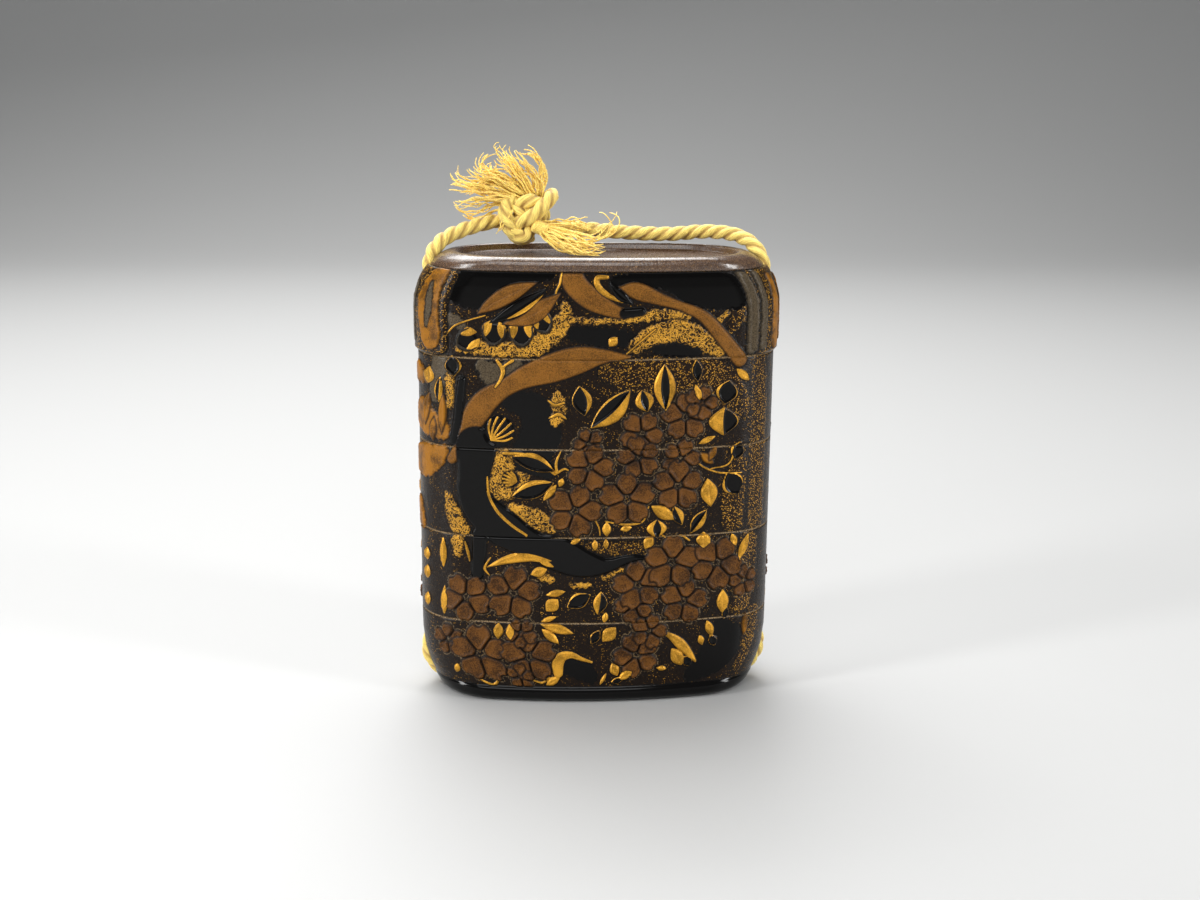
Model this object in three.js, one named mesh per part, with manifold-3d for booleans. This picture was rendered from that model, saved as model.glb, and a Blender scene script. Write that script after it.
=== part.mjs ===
// A lacquered inro: four stacked cases and a lid, strung on one silk cord.
// Millimetres, +Z up. The origin is on the underside, at the middle of the plan.
import * as THREE from 'three';
import { mergeVertices } from 'three/addons/utils/BufferGeometryUtils.js';
import Module from 'manifold-3d';

const wasm = await Module();
wasm.setup();

// Plan of the walls: two shallow faces joined by round ends.
const HALF_WIDTH = 29.9;
const HALF_DEPTH = 12.05;
const FACE_RADIUS = 95;
const FACE_STEPS = 4;
const END_STEPS = 8;

// Heights of the joints between the five tiers, from the underside up.
const BOTTOM_CASE = 14.15;
const CASE_PITCH = 14.95;
const SEAMS = [0, 1, 2, 3].map((i) => BOTTOM_CASE + i * CASE_PITCH);
const TOP = 75.4;
const SEAM_BEVEL = 0.22;

// Each case has a thin neck that slides up into the tier above it.
const RISER_HEIGHT = 3;
const RISER_INSET = 1.5;
const RISER_END_INSET = 5.6;
const RISER_WALL = 1.1;
const SLIDE_GAP = 0.3;
const FLOOR = 1.4;
const BOTTOM_FLOOR = 4.2;
const LID_CEILING = 1.6;

// Rounded bands round the lid's top and the foot, and the sunk panel on the top.
const BAND_PROUD = 0.6;
const TOP_BAND = 2.2;
const FOOT_BAND = 2.8;
const PANEL_DROP = 1.1;
const RIM_END_INSET = 6.6;
const RIM_FACE_INSET = 1.2;
const RIM_SLOPE = 0.35;

// The lobes at the lid's ends that the cord runs through.
const LOBE_PROUD = 0.5;
const LOBE_INNER_EDGE = 24.5;
const LOBE_CORNER = 1.6;

// The cord and its runs through the ends.
const CORD_RADIUS = 1.25;
const CORD_GAP = 0.3;
const CORD_SIDES = 8;
const CORD_STEPS = 46;
const RUN_X = 27.5;
const UNDER_Z = 1.35;

// Relief heights over the walls.
const BRANCH_HEIGHT = 0.42;
const LEAF_HEIGHT = 0.5;
const BLOSSOM_HEIGHT = 0.58;
const PETALS = 5;
const PETAL_NOTCH = 0.74;
const PETAL_SHOULDER = 20;
const LEAF_STEPS = 3;
const RELIEF_REACH = 20;

// ---------------------------------------------------------------- solids

function solidOf(geometry) {
  const bare = geometry.clone();
  bare.deleteAttribute('normal');
  bare.deleteAttribute('uv');
  const merged = mergeVertices(bare, 1e-4);
  return new wasm.Manifold(new wasm.Mesh({
    numProp: 3,
    vertProperties: new Float32Array(merged.attributes.position.array),
    triVerts: new Uint32Array(merged.index.array),
  }));
}

function geometryOf(solid) {
  const mesh = solid.getMesh();
  const geometry = new THREE.BufferGeometry();
  geometry.setAttribute('position', new THREE.BufferAttribute(mesh.vertProperties, 3));
  geometry.setIndex(new THREE.BufferAttribute(mesh.triVerts, 1));
  geometry.computeVertexNormals();
  return geometry;
}

function joined(solids) {
  return solids.reduce((whole, next) => whole.add(next));
}

// Points of an arc, without its last one.
function arc(x, y, radius, from, to, steps) {
  return Array.from({ length: steps }, (_, i) => {
    const angle = from + ((to - from) * i) / steps;
    return new THREE.Vector2(x + radius * Math.cos(angle), y + radius * Math.sin(angle));
  });
}

// The plan outline, anticlockwise from the front's left end: four tangent arcs.
function oval(halfWidth, halfDepth) {
  const face = FACE_RADIUS - HALF_DEPTH + halfDepth;
  const faceCentre = face - halfDepth;
  const end = (face ** 2 - faceCentre ** 2 - halfWidth ** 2) / (2 * (face - halfWidth));
  const endCentre = halfWidth - end;
  const half = Math.asin(endCentre / (face - end));
  const quarter = Math.PI / 2;
  return [
    ...arc(0, faceCentre, face, -quarter - half, -quarter + half, FACE_STEPS),
    ...arc(endCentre, 0, end, -quarter + half, quarter - half, END_STEPS),
    ...arc(0, -faceCentre, face, quarter - half, quarter + half, FACE_STEPS),
    ...arc(-endCentre, 0, end, quarter + half, 3 * quarter - half, END_STEPS),
  ];
}

// A closed skin through outlines with the same number of points.
function skin(rings) {
  const count = rings[0].length;
  const positions = rings.flatMap((ring) => ring.flatMap((p) => [p.x, p.y, p.z]));
  const index = [];
  for (let level = 0; level < rings.length - 1; level += 1) {
    for (let i = 0; i < count; i += 1) {
      const a = level * count + i;
      const b = level * count + ((i + 1) % count);
      index.push(a, b, b + count, a, b + count, a + count);
    }
  }
  const last = (rings.length - 1) * count;
  for (let i = 1; i < count - 1; i += 1) {
    index.push(0, i + 1, i);
    index.push(last, last + i, last + i + 1);
  }
  const geometry = new THREE.BufferGeometry();
  geometry.setAttribute('position', new THREE.Float32BufferAttribute(positions, 3));
  geometry.setIndex(index);
  return solidOf(geometry);
}

// A solid through [height, end inset, face inset] levels, each an oval.
function loft(levels, proud = 0) {
  return skin(levels.map(([z, endInset, faceInset]) => oval(
    HALF_WIDTH - endInset + proud,
    HALF_DEPTH - faceInset + proud,
  ).map((p) => new THREE.Vector3(p.x, p.y, z))));
}

function column(from, to, endInset, faceInset) {
  return loft([[from, endInset, faceInset], [to, endInset, faceInset]]);
}

// A round bar along a curve, with a radius that changes along it.
function bar(points, radii, sides, steps) {
  const curve = new THREE.CatmullRomCurve3(points.map((p) => new THREE.Vector3(...p)));
  const frames = curve.computeFrenetFrames(steps, false);
  const rings = Array.from({ length: steps + 1 }, (_, i) => {
    const place = (i / steps) * (radii.length - 1);
    const low = Math.min(Math.floor(place), radii.length - 2);
    const radius = THREE.MathUtils.lerp(radii[low], radii[low + 1], place - low);
    const centre = curve.getPointAt(i / steps);
    return Array.from({ length: sides }, (__, k) => {
      const angle = (2 * Math.PI * k) / sides;
      return centre.clone()
        .addScaledVector(frames.normals[i], radius * Math.cos(angle))
        .addScaledVector(frames.binormals[i], radius * Math.sin(angle));
    });
  });
  return skin(rings);
}

// ---------------------------------------------------------------- relief figures

function branchShape(knots) {
  const centre = new THREE.SplineCurve(knots.map(([x, z]) => new THREE.Vector2(x, z)));
  const width = new THREE.SplineCurve(knots.map((knot, i) => new THREE.Vector2(i, knot[2])));
  const steps = knots.length - 1;
  const left = [];
  const right = [];
  for (let i = 0; i <= steps; i += 1) {
    const p = centre.getPoint(i / steps);
    const t = centre.getTangent(i / steps);
    const half = width.getPoint(i / steps).y;
    left.push(new THREE.Vector2(p.x - t.y * half, p.y + t.x * half));
    right.unshift(new THREE.Vector2(p.x + t.y * half, p.y - t.x * half));
  }
  return new THREE.Shape([...left, ...right]);
}

// A pointed leaf; bend bows its midrib to the left of its direction.
function leafShape([x, z, length, width, degrees, bend = 0]) {
  const turn = THREE.MathUtils.degToRad(degrees);
  const place = (along, across) => new THREE.Vector2(
    x + along * Math.cos(turn) - across * Math.sin(turn),
    z + along * Math.sin(turn) + across * Math.cos(turn),
  );
  const side = (sign, i) => {
    const t = i / LEAF_STEPS;
    const bow = Math.sin(Math.PI * t);
    return place((t - 0.5) * length, bend * bow + (sign * width * bow) / 2);
  };
  const points = [];
  for (let i = 0; i < LEAF_STEPS; i += 1) points.push(side(-1, i));
  for (let i = LEAF_STEPS; i > 0; i -= 1) points.push(side(1, i));
  return new THREE.Shape(points);
}

// A flower of five petals: each has a notch beside it and two shoulders.
function blossomShape([x, z, radius, degrees]) {
  const petal = 360 / PETALS;
  const at = (reach, angle) => {
    const turned = THREE.MathUtils.degToRad(angle);
    return new THREE.Vector2(x + reach * Math.cos(turned), z + reach * Math.sin(turned));
  };
  return new THREE.Shape(Array.from({ length: PETALS }, (_, i) => {
    const start = degrees + i * petal;
    return [
      at(radius * PETAL_NOTCH, start),
      at(radius, start + PETAL_SHOULDER),
      at(radius, start + petal - PETAL_SHOULDER),
    ];
  }).flat());
}

// A shape drawn on the front (x, z), driven into the wall; the back is turned half round.
function prism(shape, onBack) {
  const geometry = new THREE.ExtrudeGeometry(shape, { depth: RELIEF_REACH, bevelEnabled: false });
  geometry.rotateX(Math.PI / 2);
  if (onBack) geometry.rotateZ(Math.PI);
  return solidOf(geometry);
}

// Branches as [x, z, half width] knots.
const FRONT_BRANCHES = [
  [[-6.2, 74.2, 2.0], [-4.6, 71.3, 1.9], [-1.6, 68.8, 1.8], [1.6, 67.1, 1.2], [5.8, 66.4, 0.5]],
  [[3, 70.2, 0.4], [6, 70.1, 1.5], [9.5, 68.6, 1.1], [13, 67.5, 0.8], [16.3, 66, 1], [19.2, 63, 1.2],
    [22.9, 58.6, 1.3]],
  [[0.9, 72.4, 0.3], [-0.9, 72.2, 0.45], [-0.6, 70.8, 0.5], [1.1, 69.4, 0.4], [3.4, 68.4, 0.2]],
  [[4.5, 59.5, 0.3], [0, 59.6, 1.3], [-4, 58.9, 2.3], [-8, 57.6, 2.4], [-12, 56.2, 1.9],
    [-15.2, 54.6, 1.2], [-18.6, 52.4, 1.6], [-20.6, 49.8, 1.8], [-21.4, 47.2, 1.5], [-23, 43.9, 1.2]],
  [[-20.2, 44.4, 3.3], [-20.6, 40, 2.7], [-20.9, 36.8, 2.6], [-19.4, 33.6, 3], [-15.8, 30.6, 3.2],
    [-11, 27.9, 2.2], [-6.5, 26.4, 2.2], [-2.6, 24.6, 1.9], [1.2, 24.2, 1.2], [4.6, 25.4, 0.8],
    [7.6, 25.6, 0.3]],
  [[-19.8, 29.6, 1.3], [-20, 26, 1.2], [-20.2, 22.5, 1.1]],
  [[-7.4, 5.2, 0.7], [-7.3, 7.2, 0.9], [-6.6, 8.6, 0.8], [-4.9, 8.9, 0.6], [-1.2, 7.3, 0.2]],
];

// Leaves as [x, z, length, width, direction, bend].
const FRONT_LEAVES = [
  [-15.1, 68.5, 9, 2.5, 30, 0.5], [-14.3, 67.6, 10.4, 1.4, 30, -0.6], [-11, 67.7, 9.6, 2.3, 32, -0.9],
  [-21.7, 61.9, 3.2, 2.6, 20], [-16.9, 63, 3, 3, 90], [-12.8, 63.1, 3.2, 3.2, 90],
  [-3.1, 52.3, 5.2, 2.7, 100], [1.5, 51, 9.2, 3.2, 45, -0.5], [7, 52.2, 3.9, 2.7, 105],
  [10.3, 54.4, 7.8, 3.2, 92], [20.4, 48.3, 4.6, 4.4, 90], [20.8, 53, 4.2, 3.4, 80],
  [-16.5, 47.2, 4.6, 4.4, 60], [-6.9, 51.3, 6, 3, 90], [-25.2, 48.6, 7.5, 2.2, 85],
  [-26.3, 54.6, 4, 1.6, 80],
  [-11, 41.6, 7.8, 2.6, -18, 0.4], [-11, 37.3, 7.4, 2.6, 20], [18.2, 36.3, 5, 2.6, 98],
  [22.3, 37.6, 4.6, 3.4, 120], [10.6, 33, 4.4, 1.9, -35], [16.6, 31.6, 4.2, 2, 52],
  [-27.6, 41, 6, 4.4, 80],
  [-13, 24.2, 10.6, 1.4, 3, 1.3], [-8, 17.5, 2.8, 2, 45], [-3.4, 18.2, 4.6, 2.4, 30],
  [0, 17.8, 4, 2, 80], [21.1, 17, 4.2, 2, 90], [24.6, 26.4, 4.4, 1.5, 65],
  [-25.9, 25.7, 5.4, 1.4, 90],
  [-15.6, 12.5, 2.6, 3, 90], [-6.9, 12.6, 5.6, 1.6, -14], [1.6, 12.1, 3.4, 2, 45],
  [13.8, 10.4, 7.6, 1.9, -38], [18.8, 12, 3, 1.3, -70], [3.8, 5.4, 3, 2, 60],
];

// Blossoms as [x, z, radius, turn].
const FRONT_BLOSSOMS = [
  [13.8, 49.4, 3.8, 20], [6.4, 46.9, 3.4, 60],
  [-1.8, 41.2, 3.9, 0], [6.2, 42.8, 3.2, 30], [12.8, 38.8, 4.3, 90], [4.4, 35.7, 4.7, 20],
  [-4.2, 33.8, 4.5, 0],
  [-14.3, 19.4, 4.6, 10], [-22.2, 18.3, 4, 50], [6.4, 19.8, 4.4, 100], [12, 24, 4.4, 15],
  [19.8, 23.8, 4.4, 60], [14.2, 17.4, 3.8, 80],
  [-20.2, 8.2, 4.9, 90], [-11.9, 8.2, 4.6, 20], [6.4, 8.4, 4, 40],
];

// The back carries a plainer spray of the same kind, drawn as seen from behind.
const BACK_BRANCHES = [
  [[21.5, 3.4, 2.2], [19, 12, 2], [14.6, 20.5, 1.8], [8, 28, 1.7], [1.6, 37.6, 1.5], [-3, 47, 1.1],
    [-9.6, 54.4, 0.8], [-16.5, 60.5, 0.4]],
  [[13.5, 22.2, 1.2], [18.4, 31, 0.9], [20.6, 40.5, 0.4]],
];
const BACK_LEAVES = [
  [-14.5, 64.6, 7, 2.4, 40], [3.8, 46.2, 6.4, 2.2, 60], [16.5, 46, 6, 2.2, 110],
  [-1.6, 24, 6.4, 2.4, 200], [8.6, 12, 6, 2.2, 170],
];
const BACK_BLOSSOMS = [
  [-7.4, 50.2, 4.2, 20], [-1.4, 39.2, 4.4, 60], [19.2, 36.4, 4, 0], [10.4, 25, 4.3, 40],
  [17.4, 9, 4.2, 10],
];

// The figures on one tier: prisms cut back to a skin a little proud of its wall.
function relief(levels) {
  const low = levels[0][0];
  const high = levels[levels.length - 1][0];
  const onTier = (z, reach) => z + reach > low && z - reach < high;
  const branchOnTier = (knots) => Math.min(...knots.map((k) => k[1] - k[2])) < high
    && Math.max(...knots.map((k) => k[1] + k[2])) > low;
  const layers = [
    [BRANCH_HEIGHT, FRONT_BRANCHES, BACK_BRANCHES, branchOnTier, branchShape],
    [LEAF_HEIGHT, FRONT_LEAVES, BACK_LEAVES, (leaf) => onTier(leaf[1], leaf[2] / 2), leafShape],
    [BLOSSOM_HEIGHT, FRONT_BLOSSOMS, BACK_BLOSSOMS, (b) => onTier(b[1], b[2]), blossomShape],
  ];
  return layers.flatMap(([height, front, back, present, shape]) => {
    const prisms = [
      ...front.filter(present).map((figure) => prism(shape(figure), false)),
      ...back.filter(present).map((figure) => prism(shape(figure), true)),
    ];
    return prisms.length ? [joined(prisms).intersect(loft(levels, height))] : [];
  });
}

// ---------------------------------------------------------------- the cord's route

// From the knot down through the left end, under the foot and up to the knot again.
const CORD_ROUTE = [
  [-15.2, 7.6, 79.7], [-19, 6.5, 79], [-22.4, 5, 78.1], [-25.5, 3, 76.8], [-27.1, 1.4, 75.2],
  [-27.8, 0.3, 73], [-27.5, 0, 70], [-27.5, 0, 55], [-27.5, 0, 35], [-27.5, 0, 16], [-27.7, 0, 11.5],
  [-28.5, 0, 8.4],
  [-29, 0, 6.1], [-28.4, 0, 3.9], [-26.8, 0, 2.1], [-24.2, 0, UNDER_Z], [-18, 0, UNDER_Z],
  [0, 0, UNDER_Z], [18, 0, UNDER_Z],
  [24.2, 0, UNDER_Z], [26.8, 0, 2.1], [28.4, 0, 3.9], [29, 0, 6.1], [28.5, 0, 8.4], [27.7, 0, 11.5],
  [27.5, 0, 16], [27.5, 0, 35], [27.5, 0, 55], [27.5, 0, 70], [27.8, 0.3, 73.2], [26.6, 2.2, 75.8],
  [24, 5.4, 77.3], [19.4, 8.6, 77.6], [13, 10.2, 77], [6, 10.4, 77.2], [0, 9.6, 77.8],
  [-5.6, 8.6, 78.3],
];

function cordBar(radius) {
  const route = new THREE.CatmullRomCurve3(CORD_ROUTE.map((p) => new THREE.Vector3(...p)));
  const section = new THREE.Shape(arc(0, 0, radius, 0, 2 * Math.PI, CORD_SIDES));
  return solidOf(new THREE.ExtrudeGeometry(section, { steps: CORD_STEPS, extrudePath: route }));
}

// Room for the cord: its run through each end, and a groove across the foot.
function cordWay() {
  const radius = CORD_RADIUS + CORD_GAP;
  const groove = new THREE.BoxGeometry(2 * RUN_X - 2, 2 * radius, 2 * UNDER_Z);
  return cordBar(radius).add(solidOf(groove));
}

// ---------------------------------------------------------------- tiers

// The foot draws in at the ends and rolls under in a rounded band.
const BOTTOM_LEVELS = [
  [0, 4.1, 1.1], [0.45, 3.2, 0], [1.3, 2.5, -BAND_PROUD], [2.3, 2, -BAND_PROUD], [FOOT_BAND, 1.95, 0],
  [4.6, 1.15, 0], [7, 0.45, 0], [SEAMS[0] - SEAM_BEVEL, 0, 0], [SEAMS[0], SEAM_BEVEL, SEAM_BEVEL],
];
// The lid's ends round over into a band that stands round its sunk top.
const LID_LEVELS = [
  [SEAMS[3], SEAM_BEVEL, SEAM_BEVEL], [SEAMS[3] + SEAM_BEVEL, 0, 0], [68, 0.1, 0], [70.6, 0.8, 0],
  [TOP - TOP_BAND, 2.3, 0], [TOP - TOP_BAND + 0.15, 2.2, -BAND_PROUD], [74.5, 3.4, -BAND_PROUD],
  [TOP, 5.5, 0.7],
];
const LOBE_LEVELS = [
  [SEAMS[3] + 0.1, 0.75, 0.5], [SEAMS[3] + 1.2, 0, 0], [68, 0.05, 0], [70.6, 0.85, 0], [72.9, 2.5, 0.3],
];

function middleLevels(index) {
  const low = SEAMS[index];
  const high = SEAMS[index + 1];
  return [
    [low, SEAM_BEVEL, SEAM_BEVEL], [low + SEAM_BEVEL, 0, 0],
    [high - SEAM_BEVEL, 0, 0], [high, SEAM_BEVEL, SEAM_BEVEL],
  ];
}

// The well inside a tier, and the socket that takes the neck of the tier below.
function well(from, to) {
  return column(from, to, RISER_END_INSET + RISER_WALL, RISER_INSET + RISER_WALL);
}

function socket(seam) {
  return column(seam - 1, seam + RISER_HEIGHT + SLIDE_GAP, RISER_END_INSET - SLIDE_GAP,
    RISER_INSET - SLIDE_GAP);
}

function riser(seam) {
  return column(seam - 1, seam + RISER_HEIGHT, RISER_END_INSET, RISER_INSET);
}

const way = cordWay();

function middleCase(index) {
  const levels = middleLevels(index);
  const floorTop = SEAMS[index] + RISER_HEIGHT + SLIDE_GAP + FLOOR;
  const top = SEAMS[index + 1];
  return joined([loft(levels), riser(top), ...relief(levels)])
    .subtract(socket(SEAMS[index]))
    .subtract(well(floorTop, top + RISER_HEIGHT + 1))
    .subtract(way);
}

function bottomCase() {
  const wall = BOTTOM_LEVELS.filter(([z]) => z >= FOOT_BAND);
  return joined([loft(BOTTOM_LEVELS), riser(SEAMS[0]), ...relief(wall)])
    .subtract(well(BOTTOM_FLOOR, SEAMS[0] + RISER_HEIGHT + 1))
    .subtract(way);
}

// One lobe, its edges on the faces rounded off at the top and bottom.
function lobe(side) {
  const low = SEAMS[3] + 0.1;
  const high = TOP - TOP_BAND + 0.1;
  const outer = HALF_WIDTH + 2;
  const shape = new THREE.Shape();
  shape.moveTo(outer, low);
  shape.lineTo(outer, high);
  shape.lineTo(LOBE_INNER_EDGE + LOBE_CORNER, high);
  shape.absarc(LOBE_INNER_EDGE + LOBE_CORNER, high - LOBE_CORNER, LOBE_CORNER, Math.PI / 2, Math.PI);
  shape.absarc(LOBE_INNER_EDGE + LOBE_CORNER, low + LOBE_CORNER, LOBE_CORNER, Math.PI, 1.5 * Math.PI);
  const geometry = new THREE.ExtrudeGeometry(shape, {
    depth: 2 * RELIEF_REACH, bevelEnabled: false, curveSegments: 3,
  });
  geometry.translate(0, 0, -RELIEF_REACH);
  geometry.rotateX(Math.PI / 2);
  if (side < 0) geometry.rotateZ(Math.PI);
  return solidOf(geometry).intersect(loft(LOBE_LEVELS, LOBE_PROUD));
}

function lid() {
  const panelFloor = TOP - PANEL_DROP;
  const wall = LID_LEVELS.filter(([z]) => z <= TOP - TOP_BAND);
  const panel = loft([
    [panelFloor, RIM_END_INSET + RIM_SLOPE, RIM_FACE_INSET + RIM_SLOPE],
    [TOP + 0.1, RIM_END_INSET, RIM_FACE_INSET],
  ]);
  return joined([loft(LID_LEVELS), lobe(1), lobe(-1), ...relief(wall)])
    .subtract(panel)
    .subtract(socket(SEAMS[3]))
    .subtract(well(SEAMS[3], panelFloor - LID_CEILING))
    .subtract(way);
}

// ---------------------------------------------------------------- knot and frayed ends

// The knot, and the outer shapes of the cord's two teased-out ends.
const KNOT_CENTRE = [-10.4, 8, 79.6];
const KNOT_RADII = [4.3, 3.6, 3.9];
const TUFT_SIDES = 7;
const STANDING_TUFT = {
  points: [[-10, 8, 81], [-12, 8, 84.6], [-15.4, 7.6, 86.6], [-20.5, 7.2, 86]],
  radii: [1.6, 3.4, 4.6, 2.6],
  steps: 5,
};
const LYING_TUFT = {
  points: [[-9, 5.6, 79.4], [-5.4, 3.2, 78.2], [-1.6, 0.8, 76.8], [2, -1, 75.5]],
  radii: [1.3, 2.3, 1.9, 0.7],
  steps: 4,
};

function knot() {
  const ball = new THREE.SphereGeometry(1, 10, 6);
  ball.scale(...KNOT_RADII);
  ball.translate(...KNOT_CENTRE);
  const tufts = [STANDING_TUFT, LYING_TUFT];
  return joined([
    solidOf(ball),
    ...tufts.map(({ points, radii, steps }) => bar(points, radii, TUFT_SIDES, steps)),
  ]);
}

// ---------------------------------------------------------------- the part

const LACQUER = { color: 0x2a1a0c, roughness: 0.25, metalness: 0.1 };
const SILK = { color: 0xb89a48, roughness: 0.8, metalness: 0 };

const part = new THREE.Group();

function place(name, solid, finish) {
  const mesh = new THREE.Mesh(geometryOf(solid), new THREE.MeshStandardMaterial(finish));
  mesh.name = name;
  part.add(mesh);
}

place('lid', lid(), LACQUER);
place('case_1', middleCase(2), LACQUER);
place('case_2', middleCase(1), LACQUER);
place('case_3', middleCase(0), LACQUER);
place('case_4', bottomCase(), LACQUER);
place('cord', cordBar(CORD_RADIUS), SILK);
place('cord_knot', knot(), SILK);

export default part;
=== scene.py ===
"""Looks of a lacquered, tiered case on a silk cord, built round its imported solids.

Lengths are millimetres in the row frame, apart from the stage's; meshes are made in metres.
"""

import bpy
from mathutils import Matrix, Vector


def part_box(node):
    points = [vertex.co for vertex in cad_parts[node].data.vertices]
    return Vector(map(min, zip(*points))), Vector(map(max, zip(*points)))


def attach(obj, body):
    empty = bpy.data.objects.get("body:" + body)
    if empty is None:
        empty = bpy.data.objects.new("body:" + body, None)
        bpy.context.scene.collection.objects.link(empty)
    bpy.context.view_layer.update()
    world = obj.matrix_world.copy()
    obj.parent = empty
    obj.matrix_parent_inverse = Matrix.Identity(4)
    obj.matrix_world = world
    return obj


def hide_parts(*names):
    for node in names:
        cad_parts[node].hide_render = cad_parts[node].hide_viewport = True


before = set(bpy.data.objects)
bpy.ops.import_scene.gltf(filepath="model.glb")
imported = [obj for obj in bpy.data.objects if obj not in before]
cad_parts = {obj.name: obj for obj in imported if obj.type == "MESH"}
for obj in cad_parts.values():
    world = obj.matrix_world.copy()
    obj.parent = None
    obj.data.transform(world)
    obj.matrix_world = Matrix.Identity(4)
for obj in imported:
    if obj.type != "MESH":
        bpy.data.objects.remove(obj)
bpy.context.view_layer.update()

import math
import random

import bpy
import numpy as np
from mathutils import Matrix, Vector

bl_info = {
    "name": "Lacquered Tiered Case",
    "version": (1, 0, 0),
    "blender": (4, 5, 0),
    "location": "3D View > Sidebar > Tiered Case",
    "description": "Builds a raised-lacquer case of stacked tiers with its knotted silk cord",
    "category": "Object",
}

MM = 0.001
BODY = "root"
TIERS = ("case_4", "case_3", "case_2", "case_1", "lid")


def node_span(node, axis):
    """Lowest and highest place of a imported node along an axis, in millimetres."""
    low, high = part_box(node)
    return low[axis] / MM, high[axis] / MM


# ------------------------------------------------------------------ sizes

HALF_WIDTH = node_span("case_2", 0)[1]
HALF_DEPTH = 12.05
FACE_RADIUS = 95
SEAMS = [node_span(node, 2)[0] for node in TIERS]
TOP = node_span("lid", 2)[1]
SEAM_BEVEL = 0.22

NECK_HEIGHT = 3
NECK_INSETS = (5.6, 1.5)
NECK_WALL = 1.1
SLIDE_GAP = 0.3
FLOOR = 1.4
BOTTOM_FLOOR = 4.2
LID_CEILING = 1.6

BAND_PROUD = 0.6
FOOT_BAND = 2.85
TOP_BAND = 2.2
PANEL_DROP = 1.1
RIM_INSETS = (6.6, 1.2)
RIM_SLOPE = 0.35

LOBE_EDGE = 24.9
LOBE_PROUD = 0.5
LOBE_CORNER = 1.8

# Wall profiles as [height, end inset, face inset].
FOOT_PROFILE = [
    [0, 4.1, 1.1], [0.15, 3.75, 0.6], [0.45, 3.2, 0], [0.85, 2.8, -0.4], [1.3, 2.5, -BAND_PROUD],
    [1.8, 2.25, -BAND_PROUD - 0.02], [2.3, 2, -BAND_PROUD + 0.08], [2.6, 1.95, -0.35], [2.8, 1.97, 0],
    [3.2, 1.8, 0.02], [4.6, 1.15, 0], [7, 0.45, 0], [10.5, 0.05, 0], [SEAMS[1] - SEAM_BEVEL, 0, 0],
    [SEAMS[1], SEAM_BEVEL, SEAM_BEVEL],
]
LID_PROFILE = [
    [SEAMS[4], SEAM_BEVEL, SEAM_BEVEL], [SEAMS[4] + SEAM_BEVEL, 0, 0], [66, 0, 0], [68, 0.1, 0],
    [70.6, 0.8, 0], [72.2, 1.6, 0.02], [TOP - TOP_BAND - 0.12, 2.3, 0.05],
    [TOP - TOP_BAND + 0.05, 2.25, -0.35], [TOP - TOP_BAND + 0.3, 2.3, -BAND_PROUD],
    [74.2, 2.95, -BAND_PROUD - 0.02], [74.75, 3.7, -0.45],
    [75.1, 4.45, -0.15], [75.3, 5.0, 0.3], [TOP, 5.5, 0.7],
]

# The cord's way, as in the solids: from the knot down one end, under the foot and up the other.
CORD_RADIUS = 1.25
CORD_GAP = 0.3
UNDER_Z = 1.35
RUN_X = 27.5
CORD_ROUTE = [
    [-15.2, 7.6, 79.7], [-19, 6.5, 79], [-22.4, 5, 78.1], [-25.5, 3, 76.8], [-27.1, 1.4, 75.2],
    [-27.8, 0.3, 73], [-RUN_X, 0, 70], [-RUN_X, 0, 55], [-RUN_X, 0, 35], [-RUN_X, 0, 16],
    [-27.7, 0, 11.5], [-28.5, 0, 8.4], [-29, 0, 6.1], [-28.4, 0, 3.9], [-26.8, 0, 2.1],
    [-24.2, 0, UNDER_Z], [-18, 0, UNDER_Z], [0, 0, UNDER_Z], [18, 0, UNDER_Z], [24.2, 0, UNDER_Z],
    [26.8, 0, 2.1], [28.4, 0, 3.9], [29, 0, 6.1], [28.5, 0, 8.4], [27.7, 0, 11.5],
    [RUN_X, 0, 16], [RUN_X, 0, 35], [RUN_X, 0, 55], [RUN_X, 0, 70], [27.8, 0.3, 73.2],
    [26.6, 2.2, 75.8], [24, 5.4, 77.3], [19.4, 8.6, 77.6], [13, 10.2, 77], [6, 10.4, 77.2],
    [0, 9.6, 77.8], [-5.6, 8.6, 78.3],
]


# ------------------------------------------------------------------ settings

class CaseSettings(bpy.types.PropertyGroup):
    """Fineness and height of the raised lacquer."""

    front_step: bpy.props.FloatProperty(
        name="Front step", description="Mesh step on the front face, in millimetres", default=0.17, min=0.1)
    end_step: bpy.props.FloatProperty(
        name="End step", description="Mesh step round the ends, in millimetres", default=0.21, min=0.1)
    back_step: bpy.props.FloatProperty(
        name="Back step", description="Mesh step on the back, in millimetres", default=0.3, min=0.1)
    branch_height: bpy.props.FloatProperty(
        name="Branch height", description="How far branches stand out, in millimetres", default=0.42)
    leaf_height: bpy.props.FloatProperty(
        name="Leaf height", description="How far leaves stand out, in millimetres", default=0.46)
    blossom_height: bpy.props.FloatProperty(
        name="Blossom height", description="How far petals stand out, in millimetres", default=0.55)
    moss_height: bpy.props.FloatProperty(
        name="Moss height", description="How far moss stands out, in millimetres", default=0.2)


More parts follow.
